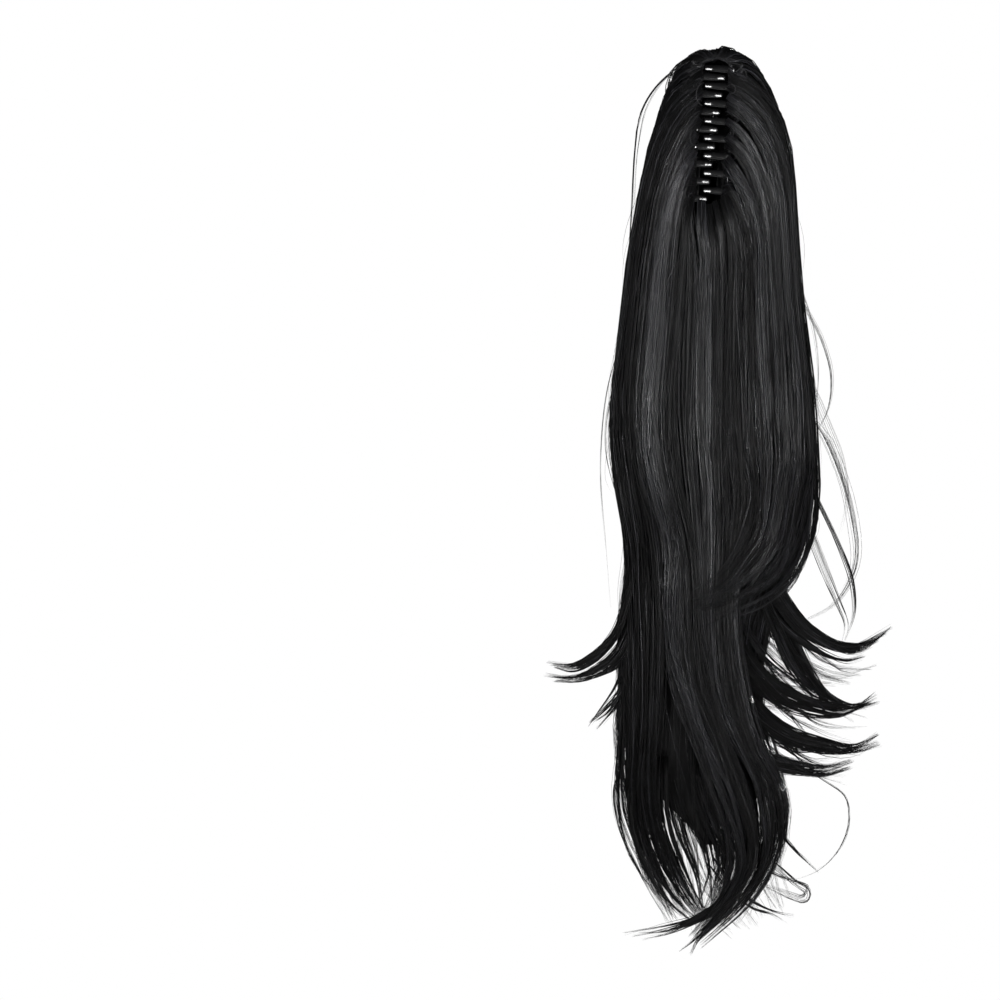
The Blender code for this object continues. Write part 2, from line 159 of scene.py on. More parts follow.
# A copy of the finish with less gloss, as painted shade for the hair beneath and at the left.
shaded_fibre = hair_finish("shaded_black_fibre", rough=0.50, gloss=0.19)
SHADED_PIECES = ("claw_side_left", "flicks_right", "under_layer_left", "under_layer_right")
print("made", fibre.name, "and", shaded_fibre.name)

# %% [markdown]
# ## The body of the hair
# Strands have to lie on something. The body is a stack of sections read from the two views: the height of
# each, its left and right edge, and its front and back, all in millimetres. Between rows the body is
# smoothed, and `skin` gives the point of the body at a turn round it (0 is the claw side, +90 the right).

# %% Sections of the body
Section = namedtuple("Section", "height left right front back")
SECTIONS = (
    Section(56.5, 2, 10, -5, 6),
    Section(55.8, -3.5, 15, -10, 11.5),
    Section(54.0, -9.5, 18.5, -14, 16.5),
    Section(50.5, -16, 22.5, -17, 21),
    Section(46.0, -23.5, 27, -19.3, 24),
    Section(40.0, -28.5, 32.5, -21, 26.5),
    Section(30.0, -32.3, 38, -22.8, 29),
    Section(20.0, -35, 43, -23.8, 31.5),
    Section(9.0, -37.5, 46.5, -24.5, 34),
    Section(-10.0, -41.5, 50, -24.8, 35.5),
    Section(-35.0, -45.3, 51.7, -25, 36.5),
    Section(-55.0, -48.6, 53, -24.5, 36.5),
    Section(-77.0, -52.6, 54.4, -24.5, 36),
    Section(-103.0, -55.2, 56.4, -24.5, 35),
    Section(-130.0, -58.5, 60, -24.5, 33.5),
    Section(-170.0, -64, 65, -25, 31.5),
    Section(-193.0, -65, 66, -25, 31),
    Section(-225.0, -62, 68.5, -25.5, 30),
    Section(-257.0, -55, 65, -25.5, 30),
    Section(-275.0, -54.5, 58, -25, 30.5),
    Section(-302.0, -59, 40, -21, 31),
    Section(-335.0, -61, 34, -18, 29.5),
    Section(-368.0, -57, 32, -17, 27),
    Section(-396.0, -60, 37, -17, 25),
    Section(-416.0, -62, 47, -17, 23),
    Section(-440.0, -59, 49, -15, 20),
    Section(-461.0, -50, 44, -13, 16),
    Section(-490.0, -34, 29, -9, 11),
    Section(-505.0, -23, 10, -6, 7),
    Section(-517.0, -15, -2, -3, 4),
)
TOP, BOTTOM = SECTIONS[0].height, SECTIONS[-1].height
heights = np.arange(BOTTOM, TOP + 0.5, 0.5)
edges = np.array(SECTIONS)[::-1]
raw = np.stack([np.interp(heights, edges[:, 0], edges[:, column]) for column in range(1, 5)])
window = np.hanning(41) / np.hanning(41).sum()
padded = np.pad(raw, ((0, 0), (20, 20)), mode="edge")
smooth = np.stack([np.convolve(row, window, mode="valid") for row in padded])
near_crown = np.clip((heights - 25) / 20, 0, 1)
body = raw * near_crown + smooth * (1 - near_crown)
print("body sections", len(SECTIONS), "over", TOP - BOTTOM, "mm")


def section_at(height):
    return [np.interp(height, heights, row) for row in body]


def skin(turn, height, depth=0.0):
    """Points of the body at turns in degrees and heights in mm, depth mm below its surface."""
    left, right, front, back = section_at(height)
    turn = np.radians(turn)
    across = np.maximum((right - left) / 2 - depth, 0.5)
    deep = np.maximum((back - front) / 2 - depth, 0.5)
    x = (left + right) / 2 + across * np.sin(turn)
    y = (front + back) / 2 - deep * np.cos(turn)
    return np.stack(np.broadcast_arrays(x, y, height), -1)


# %% [markdown]
# Some strands run over the crown, where turn and height say little. `onto_body` takes any points near the
# body and moves them straight in or out until they lie on it, by halving the distance again and again.

# %% Points pushed onto the body
HEART = 10.0


def heart_of(points):
    """The middle of the body behind each point, never higher than the claw's upper part."""
    height = np.minimum(points[:, 2], HEART)
    left, right, front, back = section_at(height)
    return np.stack([(left + right) / 2, (front + back) / 2, height], -1)


def inside(points):
    left, right, front, back = section_at(points[:, 2])
    across = (points[:, 0] - (left + right) / 2) / ((right - left) / 2)
    deep = (points[:, 1] - (front + back) / 2) / ((back - front) / 2)
    return (across**2 + deep**2 < 1) & (points[:, 2] < TOP)


def onto_body(points, depth):
    """The points moved along the line from the body's heart until they lie depth mm below its surface."""
    heart = heart_of(points)
    away = points - heart
    away /= np.linalg.norm(away, axis=1)[:, None] + 1e-9
    low, high = np.zeros(len(points)), np.full(len(points), 130.0)
    for _ in range(14):
        reach = (low + high) / 2
        filled = inside(heart + away * reach[:, None])
        low, high = np.where(filled, reach, low), np.where(filled, high, reach)
    return heart + away * np.maximum(low - depth, 1)[:, None]


print("highest point of the body", onto_body(np.array([[6.0, 1.0, 80.0]]), 0)[0].round(1))

# %% [markdown]
# ## Combing one lock
# Hair is sewn along both rails of the claw. A strand near the foot of the mouth drops straight down. One
# sewn higher up runs outwards first and turns down further round the body, and the highest ones pass over
# the crown to the outer side. The table says, for the turn at which a lock ends, how far up the mouth it
# is sewn (0 at its foot, 1 at its top), how steeply it leaves, in degrees, and how far it falls before it
# hangs straight.

# %% The path of one lock
RAIL_LEFT, RAIL_RIGHT, RAIL_Y = (-10.3, 0.09), (8.6, 0.03), -22.4
MOUTH_TOP, MOUTH_FOOT = 44.5, -46.5
Sewn = namedtuple("Sewn", "turn climb rise drop")
SEWN = (
    Sewn(0, 0.00, -85, 45),
    Sewn(22, 0.08, -60, 55),
    Sewn(35, 0.38, -38, 66),
    Sewn(45, 0.58, -30, 72),
    Sewn(70, 0.83, -8, 72),
    Sewn(95, 0.96, 30, 60),
    Sewn(120, 1.01, 62, 52),
    Sewn(180, 1.03, 84, 50),
)


def rail_point(beside, height):
    """A point between the edges of the claw's mouth (0) and one of them (-1 or 1)."""
    left, right = (place + lean * height for place, lean in (RAIL_LEFT, RAIL_RIGHT))
    x = (left + right) / 2 + beside * (right - left) / 2
    return np.array([x, RAIL_Y - ease(-height, 34, 47) + 3 * ease(height, 38, 47), height])


def sway(turn, height, own):
    """Degrees by which locks drift sideways as they fall, shared by neighbours, plus a lock's own."""
    fallen = np.clip(-(height + 40) / 240, 0, 1)
    shared = 5 * np.sin(height / 75 + math.radians(turn) * 1.5 + 0.4) + 2 * np.sin(height / 33 + turn / 19)
    return fallen * (shared + 5 * own[0] * np.sin(height / 52 + 3 * own[1]))


def ease(value, low, high):
    share = np.clip((value - low) / (high - low), 0, 1)
    return share * share * (3 - 2 * share)


def comb(turn, leave, depth, own):
    """Points of a lock from its rail, over the body, to the height where it leaves the body."""
    turn = (turn + 180) % 360 - 180
    side = 1 if turn >= 0 else -1
    table = np.array(SEWN)
    climb, rise, drop = [np.interp(abs(turn), table[:, 0], table[:, column]) for column in (1, 2, 3)]
    uneven = (1 + 3 * ease(climb, 0, 0.1)) * own[2] * (climb < 0.98)
    start = MOUTH_FOOT + (MOUTH_TOP - MOUTH_FOOT) * climb + uneven
    beside = min(1, abs(turn) / 14) * (1 - ease(abs(turn), 112, 180))
    root = rail_point(side * beside, start)
    rise = math.radians(rise + 8 * own[1])
    end = skin(turn, start - drop, depth)
    reach = np.linalg.norm(end - root)
    forward = 0.35 * ease(abs(turn), 8, 34) * (1 - ease(abs(turn), 60, 110))
    knee = root + reach * 0.45 * np.array([side * math.cos(rise), -forward, math.sin(rise)])
    hip = end + np.array([0, 0, reach * 0.5])
    t = np.linspace(0, 1, 22)[:, None]
    curve = root * (1 - t) ** 3 + 3 * knee * t * (1 - t) ** 2 + 3 * hip * t**2 * (1 - t) + end * t**3
    laid = ease(t, 0, 0.16 - 0.08 * ease(abs(turn), 60, 110))
    over = curve * (1 - laid) + onto_body(curve, depth) * laid
    height = np.arange(start - drop - 12, leave, -12.0)
    return np.concatenate([over, skin(turn + sway(turn, height, own), height, depth)])


print("a lock at 60 degrees has", len(comb(60, -300, 0, (0, 0, 0))), "points")

# %% [markdown]
# ## The line of a lock
# The few spots that a lock passes are joined by one smooth curve. A frame is carried along it: the way
# ahead, and a direction away from the body that turns as little as it can. With that, a lock can flick
# outwards or loop without twisting.

# %% A smooth curve and its frame
def curve_through(spots, count):
    """Points at even steps along a smooth curve through the spots."""
    spots = np.asarray(spots, float)
    place = np.concatenate([[0], np.cumsum(np.linalg.norm(np.diff(spots, axis=0), axis=1))])
    slope = np.gradient(spots, place, axis=0)
    wanted = np.linspace(0, place[-1], count)
    span = np.clip(np.searchsorted(place, wanted, side="right") - 1, 0, len(spots) - 2)
    length = (place[span + 1] - place[span])[:, None]
    t = (wanted[:, None] - place[span][:, None]) / length
    first = spots[span] * (2 * t**3 - 3 * t**2 + 1) + slope[span] * length * (t**3 - 2 * t**2 + t)
    second = spots[span + 1] * (3 * t**2 - 2 * t**3) + slope[span + 1] * length * (t**3 - t**2)
    return first + second


def unit(vectors):
    return vectors / (np.linalg.norm(vectors, axis=-1, keepdims=True) + 1e-9)


def carried_frame(path):
    """Headings of a path, and directions away from the body carried along it without twist."""
    heading = unit(np.gradient(path, axis=0))
    up = (path - heart_of(path))[0]
    ups = []
    for ahead in heading:
        up = up - up.dot(ahead) * ahead
        up = up / (math.sqrt(up.dot(up)) + 1e-9)
        ups.append(up)
    return heading, np.array(ups)


print("a curve through 3 spots ends at", curve_through([(0, 0, 0), (0, 5, -10), (0, 5, -30)], 9)[-1].round(1))

# %% [markdown]
# ## From a lock to its strands
# A lock is a bundle of strands in a few smaller clumps. It spreads a little after the root, and its clumps
# come together towards the tip. One strand in eight strays from its clump lower down, and one in eight has a
# higher tone, which makes it smoother and paler as painted sheen, and is a little thicker. Rings are set
# closer where the lock bends.

# %% Strands of one lock
FINE = 90
STRAY_SHARE = BRIGHT_SHARE = 0.12
Bundle = namedtuple("Bundle", "points ups radius tone")


def strands(path, count, width, thick, radius, tone, rings, wander=1.0, ragged=0.2, tip_share=0.2):
    """Strands of one lock along a path."""
    path = curve_through(path, FINE)
    for _ in range(4):
        path = np.concatenate([path[:1], (path[:-2] + 2 * path[1:-1] + path[2:]) / 4, path[-1:]])
    heading, ups = carried_frame(path)
    across = np.cross(heading, ups)
    along = np.linspace(0, 1, FINE)
    bends = np.linalg.norm(np.diff(heading, axis=0), axis=1)
    effort = np.concatenate([[0], np.cumsum(1.0 / FINE + bends / (bends.sum() + 1e-9))])
    knots = np.interp(np.linspace(0, effort[-1], rings), effort, along)
    ends = 1 - ragged * random.uniform(0, 1, count) ** 2
    read = knots[None, :] * ends[:, None] * (FINE - 1)
    low = np.clip(read.astype(int), 0, FINE - 2)
    share = (read - low)[..., None]

    def at(values):
        return values[low] * (1 - share) + values[low + 1] * share

    clumps = max(2, count // 7)
    member = random.integers(0, clumps, count)
    turn, out = random.uniform(0, 2 * math.pi, clumps), np.sqrt(random.uniform(0, 1, clumps))
    clump = np.stack([out * np.cos(turn), out * np.sin(turn)], -1)[member]
    stray = 1 + 2.0 * (random.uniform(0, 1, (count, 1)) < STRAY_SHARE) * ease(knots, 0.35, 0.8)[None, :]
    own = random.normal(0, 0.32, (count, 2))
    wide = (0.6 + 0.4 * ease(knots, 0, 0.2)) * (1 - (1 - tip_share) * ease(knots, 0.55, 1))
    close = 1 - 0.75 * ease(knots, 0.45, 1)
    spread = (clump[:, None, :] + own[:, None, :] * (close * stray)[..., None]) * wide[None, :, None]
    phase = random.uniform(0, 2 * math.pi, (2, count, 1))
    free = wander * (0.1 + 0.9 * knots[None, :]) * random.uniform(0.2, 1.2, (count, 1)) * stray
    aside = spread[..., 0] * width / 2 + free * np.sin(knots[None, :] * 9 + phase[0])
    above = spread[..., 1] * thick / 2 + 0.5 * free * np.sin(knots[None, :] * 7 + phase[1])
    above = above * (0.3 + 0.7 * ease(knots, 0.05, 0.22))[None, :]
    points = at(path) + at(across) * aside[..., None] + at(ups) * above[..., None]
    # A bright strand has a higher tone: smoother, and paler in colour as painted sheen.
    bright = random.uniform(0, 1, count) < BRIGHT_SHARE
    tones = 0.75 * tone + random.normal(0, 0.22, clumps)[member]
    tones = tones + random.normal(0, 0.14, count) + 0.55 * bright
    sizes = radius * random.uniform(0.7, 1.15, count) * (1 + 0.3 * bright)
    return Bundle(points, at(ups), sizes, np.clip(tones, 0, 1))


# %% [markdown]
# ## From strands to a mesh
# A strand is a tube of three sides that thins to a point. Thousands of them are one mesh, filled from
# arrays, because adding faces one at a time would take minutes.

# %% One mesh from many strands
SIDES = 3


def tube_arrays(bundles):
    """Vertices, corners, face sizes and tones of the strands, which all have the same number of rings."""
    points, ups, radius, tone = (np.concatenate(parts) for parts in zip(*bundles))
    count, rings = points.shape[:2]
    heading = unit(np.gradient(points, axis=1))
    first = unit(ups - (ups * heading).sum(-1, keepdims=True) * heading)
    second = np.cross(heading, first)
    along = np.linspace(0, 1, rings)
    thin = 0.8 + 0.2 * ease(along, 0, 0.1) - 0.85 * ease(along, 0.6, 1)
    size = radius[:, None, None] * thin[None, :, None]
    turns = [2 * math.pi * side / SIDES for side in range(SIDES)]
    corners = [points + size * (first * math.cos(a) + second * math.sin(a)) for a in turns]
    corners = np.stack(corners, 2).reshape(count, rings * SIDES, 3)
    tips = points[:, -1:] + heading[:, -1:] * radius[:, None, None] * 4
    each = rings * SIDES + 1
    faces, sizes = [], []
    for ring in range(rings - 1):
        for side in range(SIDES):
            low, high = ring * SIDES, (ring + 1) * SIDES
            after = (side + 1) % SIDES
            faces += [low + side, low + after, high + after, high + side]
            sizes.append(4)
    last = (rings - 1) * SIDES
    for side in range(SIDES):
        faces += [last + side, last + (side + 1) % SIDES, each - 1]
        sizes.append(3)
    faces += list(range(SIDES))[::-1]
    sizes.append(SIDES)
    loops = (np.array(faces)[None, :] + (np.arange(count) * each)[:, None]).ravel()
    vertices = np.concatenate([corners, tips], 1).reshape(-1, 3)
    return vertices, loops, np.tile(sizes, count), np.repeat(tone, each)


def tube_mesh(name, bundles):
    """All strands of the bundles as closed tubes, with the tone of each on its points."""
    by_rings = defaultdict(list)
    for bundle in bundles:
        by_rings[bundle.points.shape[1]].append(bundle)
    parts = [tube_arrays(group) for group in by_rings.values()]
    shifts = np.cumsum([0] + [len(part[0]) for part in parts])
    loops = np.concatenate([part[1] + shift for part, shift in zip(parts, shifts)])
    vertices, sizes, tones = (np.concatenate([part[index] for part in parts]) for index in (0, 2, 3))
    mesh = bpy.data.meshes.new(name)
    mesh.vertices.add(len(vertices))
    mesh.vertices.foreach_set("co", (vertices * MM).astype(np.float32).ravel())
    mesh.loops.add(len(loops))
    mesh.loops.foreach_set("vertex_index", loops.astype(np.int32))
    mesh.polygons.add(len(sizes))
    mesh.polygons.foreach_set("loop_start", (np.cumsum(sizes) - sizes).astype(np.int32))
    mesh.polygons.foreach_set("use_smooth", np.ones(len(sizes), bool))
    written = mesh.attributes.new("tone", "FLOAT", "POINT")
    written.data.foreach_set("value", tones.astype(np.float32))
    mesh.update(calc_edges=True)
    return mesh


# %% [markdown]
# A mesh becomes a piece of the object when it rides on the object's one body, names the finish it takes,
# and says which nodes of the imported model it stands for. Those nodes are then hidden.

# %% Placing a piece
triangles = {}


def place(name, mesh, finish, slot, nodes):
    """A piece of the object that rides on it and stands for the named nodes."""
    piece = bpy.data.objects.new(name, mesh)
    bpy.context.scene.collection.objects.link(piece)
    mesh.materials.append(finish)
    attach(piece, "root")
    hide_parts(*nodes)
    triangles[name] = len(mesh.loops) - 2 * len(mesh.polygons)
    print(name, triangles[name], "triangles")


# %% [markdown]
# ## Sheets of hair
# Neighbouring locks flow together, so the hair is described as sheets. A sheet has a guide along each of
# its two edges, and its locks lie between them. A guide says at which turn and height its lock leaves the
# body, and then the spots it passes, in mm. A guide with no turn starts under other hair at its first spot.

# %% Locks between two guides
Guide = namedtuple("Guide", "turn leave depth spots")
Sheet = namedtuple("Sheet", "piece locks each width radius rings low_tone high_tone ragged first last")
pieces = defaultdict(list)


def grow(sheet, loose=1.0, thick=5.0, tip_share=0.2):
    """Fills a sheet with locks and keeps their strands under the sheet's piece."""
    first, last = sheet.first, sheet.last
    ends = np.array(first.spots, float), np.array(last.spots, float)
    freed = np.linspace(0.3, 1, len(first.spots))[:, None] * loose
    for number in range(sheet.locks):
        share = np.clip((number + 0.5 + random.uniform(-0.5, 0.5)) / sheet.locks, 0, 1)
        spots = ends[0] * (1 - share) + ends[1] * share + random.normal(0, 2.2, ends[0].shape) * freed
        if first.turn is not None:
            turn = first.turn * (1 - share) + last.turn * share
            leave = first.leave * (1 - share) + last.leave * share
            depth = first.depth * (1 - share) + last.depth * share + random.uniform(0, 3)
            spots = np.concatenate([comb(turn, leave, depth, random.uniform(-1, 1, 3)), spots])
        tone = random.uniform(sheet.low_tone, sheet.high_tone)
        shape = (sheet.each, sheet.width, thick, sheet.radius, tone, sheet.rings)
        pieces[sheet.piece].append(strands(spots, *shape, ragged=sheet.ragged, tip_share=tip_share))


# %% [markdown]
# ## The claw side
# Three sheets cover it. The left one runs down to the lowest tips, and its tones are lower, so it carries
# less painted sheen, as painted shade. The middle one drifts to the right as it falls and curls in at the
# bottom. The right one sweeps across the others and ends half way down. The fourth row is one lock of the
# highest tone, a painted sheen streak, that lies on them as it winds down the middle.

# %% Sheets of the claw side
CLAW_SIDE = (
    # The left sheet's lower tones give it less painted sheen, as painted shade.
    Sheet("claw_side_left", 20, 34, 8.5, 0.27, 20, 0.0, 0.6, 0.22,
        Guide(-98, -300, 1, ((-60, -4, -345), (-59, -5, -385), (-61, -5, -412), (-60, -5, -432),
                             (-54, -4, -456), (-40, -3, -483), (-24, -2, -500))),
        Guide(-48, -235, 0, ((-34, -25, -275), (-33, -24, -320), (-34, -22, -365), (-37, -20, -402),
                             (-34, -17, -440), (-24, -13, -472), (-8, -9, -497)))),
    Sheet("claw_side_middle", 22, 34, 8.5, 0.27, 20, 0.1, 0.95, 0.24,
        Guide(-50, -215, 0, ((-29, -26, -262), (-28, -25, -310), (-24, -24, -351), (-13, -24, -386),
                             (-4, -23, -417), (8, -20, -450), (13, -15, -471), (4, -11, -492),
                             (-10, -8, -508))),
        Guide(24, -250, 0, ((14, -27, -290), (16, -25, -328), (22, -23, -362), (35, -20, -394),
                            (46, -17, -416), (48, -14, -438), (44, -11, -462), (32, -9, -483),
                            (14, -7, -500)))),
    Sheet("claw_side_right", 20, 36, 8.5, 0.27, 20, 0.1, 0.8, 0.16,
        Guide(90, -222, 0, ((66, -14, -250), (61, -21, -271), (46, -27, -291), (22, -29, -304),
                            (-4, -29, -310))),
        Guide(12, -205, 0, ((22, -28, -230), (19, -29, -250), (11, -30, -269), (-1, -30, -284),
                            (-18, -29, -296)))),
    # The fourth row: one lock of the highest tone, whose pale colour is a painted sheen streak.
    Sheet("claw_side_right", 3, 26, 4.5, 0.27, 20, 1.0, 1.2, 0.16,
        Guide(-37, -232, -2, ((-28, -27, -262), (-30, -27, -300), (-27, -26, -335), (-20, -26, -362),
                              (-9, -25, -392), (3, -23, -424), (12, -19, -452))),
        Guide(-33, -232, -2, ((-25, -28, -262), (-27, -28, -300), (-24, -27, -335), (-16, -27, -362),
                              (-4, -26, -392), (9, -24, -424), (18, -20, -450)))),
)
for sheet in CLAW_SIDE:
    grow(sheet)
print("claw side", sum(sheet.locks for sheet in CLAW_SIDE), "locks")

# %% [markdown]
# ## The outer side and the flanks
# Seen from outside, the hair falls straight from the crown and ends in three steps, and each step sweeps
# to the same side. The flanks close the gaps between the two sides.

# %% Sheets of the outer side
OUTER_SIDE = (
    Sheet("outer_side_upper", 26, 34, 9.0, 0.28, 20, 0.1, 0.85, 0.18,
        Guide(228, -120, 0, ((-32, 33, -170), (-38, 33, -212), (-31, 36, -240), (-8, 38, -262),
                             (26, 37, -277))),
        Guide(108, -160, 1, ((63, 12, -192), (67, 15, -228), (64, 18, -260), (54, 22, -288),
                             (34, 27, -306)))),
    Sheet("outer_side_middle", 18, 30, 9.0, 0.28, 19, 0.1, 0.75, 0.20,
        Guide(236, -262, 4, ((-52, 20, -300), (-44, 27, -332), (-20, 31, -352), (12, 31, -367),
                             (40, 28, -378))),
        Guide(125, -250, 5, ((42, 25, -286), (54, 21, -314), (72, 16, -334), (92, 11, -344),
                             (106, 8, -340)))),
    Sheet("outer_side_lower", 18, 28, 9.0, 0.28, 19, 0.1, 0.7, 0.22,
        Guide(240, -340, 6, ((-54, 16, -385), (-50, 16, -425), (-36, 15, -463), (-14, 12, -497),
                             (8, 10, -515))),
        Guide(128, -330, 7, ((36, 21, -372), (46, 16, -405), (49, 12, -438), (42, 12, -468),
                             (52, 12, -492)))),
    Sheet("flank_left", 12, 30, 8.5, 0.28, 20, 0.1, 0.7, 0.22,
        Guide(-96, -285, 2, ((-57, 0, -310), (-58, 2, -345), (-60, 4, -388), (-57, 4, -428),
                             (-42, 4, -470), (-24, 3, -506))),
        Guide(-136, -270, 2, ((-51, 19, -300), (-49, 20, -340), (-50, 18, -384), (-48, 16, -428),
                              (-38, 12, -468), (-28, 8, -498)))),
    Sheet("flank_right", 10, 30, 8.5, 0.28, 20, 0.1, 0.7, 0.22,
        Guide(84, -230, 3, ((56, -5, -262), (42, -4, -297), (31, -3, -335), (30, -2, -370),
                            (40, -2, -408), (45, -2, -440), (34, -2, -478))),
        Guide(114, -225, 3, ((54, 11, -262), (40, 14, -300), (30, 14, -342), (31, 12, -382),
                             (41, 10, -425), (35, 8, -467), (17, 5, -503)))),
)
for sheet in OUTER_SIDE:
    grow(sheet)
print("outer side and flanks", sum(sheet.locks for sheet in OUTER_SIDE), "locks")

# %% [markdown]
# ## The layer beneath
# Below the claw the hair is a full mass. Locks just under the surface follow the body to the lowest tips
# and show wherever the outer sheets part. Their upper ends are hidden, so they start below the claw.

# %% Locks under the surface
UNDER_LOCKS, UNDER_EACH = 46, 22
for turn in np.linspace(-180, 180, UNDER_LOCKS, endpoint=False) + random.normal(0, 2, UNDER_LOCKS):
    own = random.uniform(-1, 1, 3)
    lowest = random.uniform(-516, -440)
    fallen = np.linspace(-95 - 20 * random.uniform(), lowest, 24)
    path = skin(turn + sway(turn, fallen, own), fallen, random.uniform(5, 9))
    made = strands(path, UNDER_EACH, 10, 4, 0.29, random.uniform(0, 0.5), 15, ragged=0.25, wander=1.6)
    pieces["under_layer_left" if turn % 360 > 180 else "under_layer_right"].append(made)
print("under layer", UNDER_LOCKS, "locks")

# %% [markdown]
# ## Flicked ends
# Curled tips are what gives this cut its outline. Each flick leaves from under a sheet, bends away from
# the body and thins to a point. Both edges of a flick are guides, so its tips fan a little. The last two
# groups are thin wisps, which fill the spaces between the thick flicks.

# %% Flicks to the right
def flick(piece, locks, each, width, first, last, tones=(0.0, 0.5), ragged=0.16, radius=0.26, loose=0.45):
    sheet = Sheet(piece, locks, each, width, radius, 14, *tones, ragged,
                  Guide(None, 0, 0, first), Guide(None, 0, 0, last))
    grow(sheet, loose=loose, thick=3.0, tip_share=0.12)


flick("flicks_right", 6, 34, 6.5,
      ((28, -8, -262), (44, -12, -290), (61, -13, -314), (79, -12, -325), (93, -10, -326.5),
       (103, -9, -321), (116, -8, -313.5)),
      ((24, -8, -262), (40, -12, -297), (60, -13, -320), (77, -12, -330), (88, -11, -332),
       (95, -10, -331), (104, -9, -325)))
flick("flicks_right", 4, 16, 4.0,
      ((30, -8, -290), (46, -10, -313), (61, -11, -325), (75, -10, -333), (88, -9, -335), (97, -9, -332)),
      ((28, -8, -292), (45, -10, -317), (60, -11, -328), (74, -10, -335), (86, -9, -337), (94, -9, -336)))
flick("flicks_right", 5, 30, 5.5,
      ((36, -2, -272), (50, -5, -310), (60, -7, -334), (79, -8, -361), (91, -8, -366), (104, -8, -356)),
      ((32, -2, -276), (44, -5, -318), (56, -7, -344), (74, -8, -364), (90, -8, -369), (106, -8, -366)))
flick("flicks_right", 6, 30, 6.5,
      ((14, -10, -310), (30, -11, -340), (47, -11, -353), (66, -10, -362), (84, -9, -366), (105, -8, -364)),
      ((10, -8, -318), (26, -10, -352), (44, -10, -365), (63, -9, -371), (82, -9, -371), (98, -8, -363)))
flick("flicks_right", 6, 32, 6.5,
      ((10, -9, -335), (28, -10, -362), (50, -10, -380), (72, -9, -387), (90, -8, -389), (106, -8, -382)),
      ((6, -8, -340), (26, -9, -374), (49, -9, -391), (72, -8, -396), (92, -8, -397), (106, -7, -391)))
flick("flicks_right", 6, 30, 6.5,
      ((-4, -10, -345), (10, -11, -376), (33, -10, -395), (56, -9, -402), (74, -8, -404), (89, -8, -398)),
      ((-8, -9, -350), (6, -10, -386), (29, -9, -404), (54, -8, -410), (72, -8, -411), (88, -7, -407)))
flick("flicks_right", 3, 26, 5.5,
      ((30, -7, -285), (42, -9, -314), (52, -9, -336), (66, -9, -354), (84, -8, -364)),
      ((26, -7, -290), (38, -9, -322), (48, -9, -344), (62, -9, -360), (80, -8, -368)))
flick("flicks_right", 6, 7, 16,
      ((22, -6, -285), (34, -8, -312), (47, -8, -337), (60, -8, -352), (74, -8, -362)),
      ((34, -6, -285), (48, -8, -312), (58, -8, -330), (68, -8, -346), (78, -8, -362)), radius=0.2)
flick("flicks_right", 16, 11, 4.0,
      ((14, -9, -296), (34, -11, -326), (54, -11, -346), (76, -11, -360), (98, -10, -363)),
      ((2, -9, -345), (18, -11, -374), (40, -10, -396), (64, -9, -410), (86, -8, -414)),
      ragged=0.4, radius=0.2, loose=1.6)

# %% [markdown]
# On the left two flicks leave the body where it is slightest, and a smaller one hangs below them.

# %% Flicks to the left
flick("flicks_left", 5, 30, 5.5,
      ((-46, -6, -262), (-55, -8, -298), (-65, -8, -320), (-79, -8, -334), (-93, -8, -339.5),
       (-106, -8, -337)),
      ((-46, -5, -268), (-54, -7, -304), (-63, -8, -326), (-76, -8, -339), (-90, -8, -343),
       (-100, -8, -342)))
flick("flicks_left", 5, 28, 5.0,
      ((-44, -4, -285), (-54, -6, -316), (-64, -7, -333), (-78, -8, -342), (-95, -8, -346.5),
       (-109, -8, -345.5)),
      ((-42, -4, -290), (-51, -6, -324), (-60, -7, -340), (-72, -8, -348), (-86, -8, -351),
       (-98, -8, -350)))
flick("flicks_left", 5, 24, 4.5,
      ((-46, -4, -308), (-55, -6, -336), (-63, -6, -354), (-72, -6, -367), (-80, -6, -376.5)),
      ((-44, -4, -316), (-51, -6, -346), (-58, -6, -363), (-66, -6, -373), (-73, -6, -378)))

# %% [markdown]
# The lowest hair gathers to a ragged point. One wisp crosses to the left, and a small one to the right.

# %% Bottom tips
flick("bottom_tips", 9, 26, 7,
      ((-52, -8, -398), (-55, -8, -434), (-46, -7, -466), (-31, -6, -490), (-14, -5, -505)),
      ((-30, -9, -398), (-28, -9, -438), (-19, -8, -468), (-8, -7, -490), (-2, -6, -501)),
      tones=(0.0, 0.9), ragged=0.3, radius=0.31)
flick("bottom_tips", 9, 26, 7,
      ((-4, -9, -400), (5, -9, -440), (9, -8, -466), (2, -7, -490), (-14, -6, -511)),
      ((38, -8, -400), (47, -8, -432), (43, -7, -462), (27, -6, -489), (-6, -5, -520)),
      tones=(0.1, 1.0), ragged=0.3, radius=0.31)
flick("bottom_tips", 3, 16, 3.5,
      ((14, -7, -478), (4, -7, -496), (-6, -6, -507), (-14, -6, -516), (-20, -6, -523)),
      ((20, -7, -478), (10, -7, -498), (0, -6, -509), (-8, -6, -517), (-12, -6, -523)), ragged=0.3)
flick("bottom_tips", 4, 17, 3.5,
      ((20, -7, -462), (4, -7, -488), (-14, -7, -501), (-34, -6, -508), (-55, -6, -510)),
      ((26, -6, -470), (8, -6, -494), (-12, -6, -506), (-30, -6, -512), (-44, -6, -515)), ragged=0.35)
flick("bottom_tips", 13, 32, 7.5,
      ((-30, 0, -350), (-28, 0, -395), (-17, 0, -435), (-2, 0, -466), (-10, 0, -500)),
      ((30, 0, -350), (38, 0, -395), (45, 0, -432), (38, 0, -464), (8, 0, -503)), ragged=0.25)
flick("bottom_tips", 9, 28, 7.5,
      ((-42, 8, -370), (-44, 8, -410), (-36, 7, -446), (-20, 6, -478), (-6, 4, -503)),
      ((26, 8, -370), (34, 8, -410), (41, 7, -446), (32, 6, -476), (6, 4, -508)), ragged=0.25)
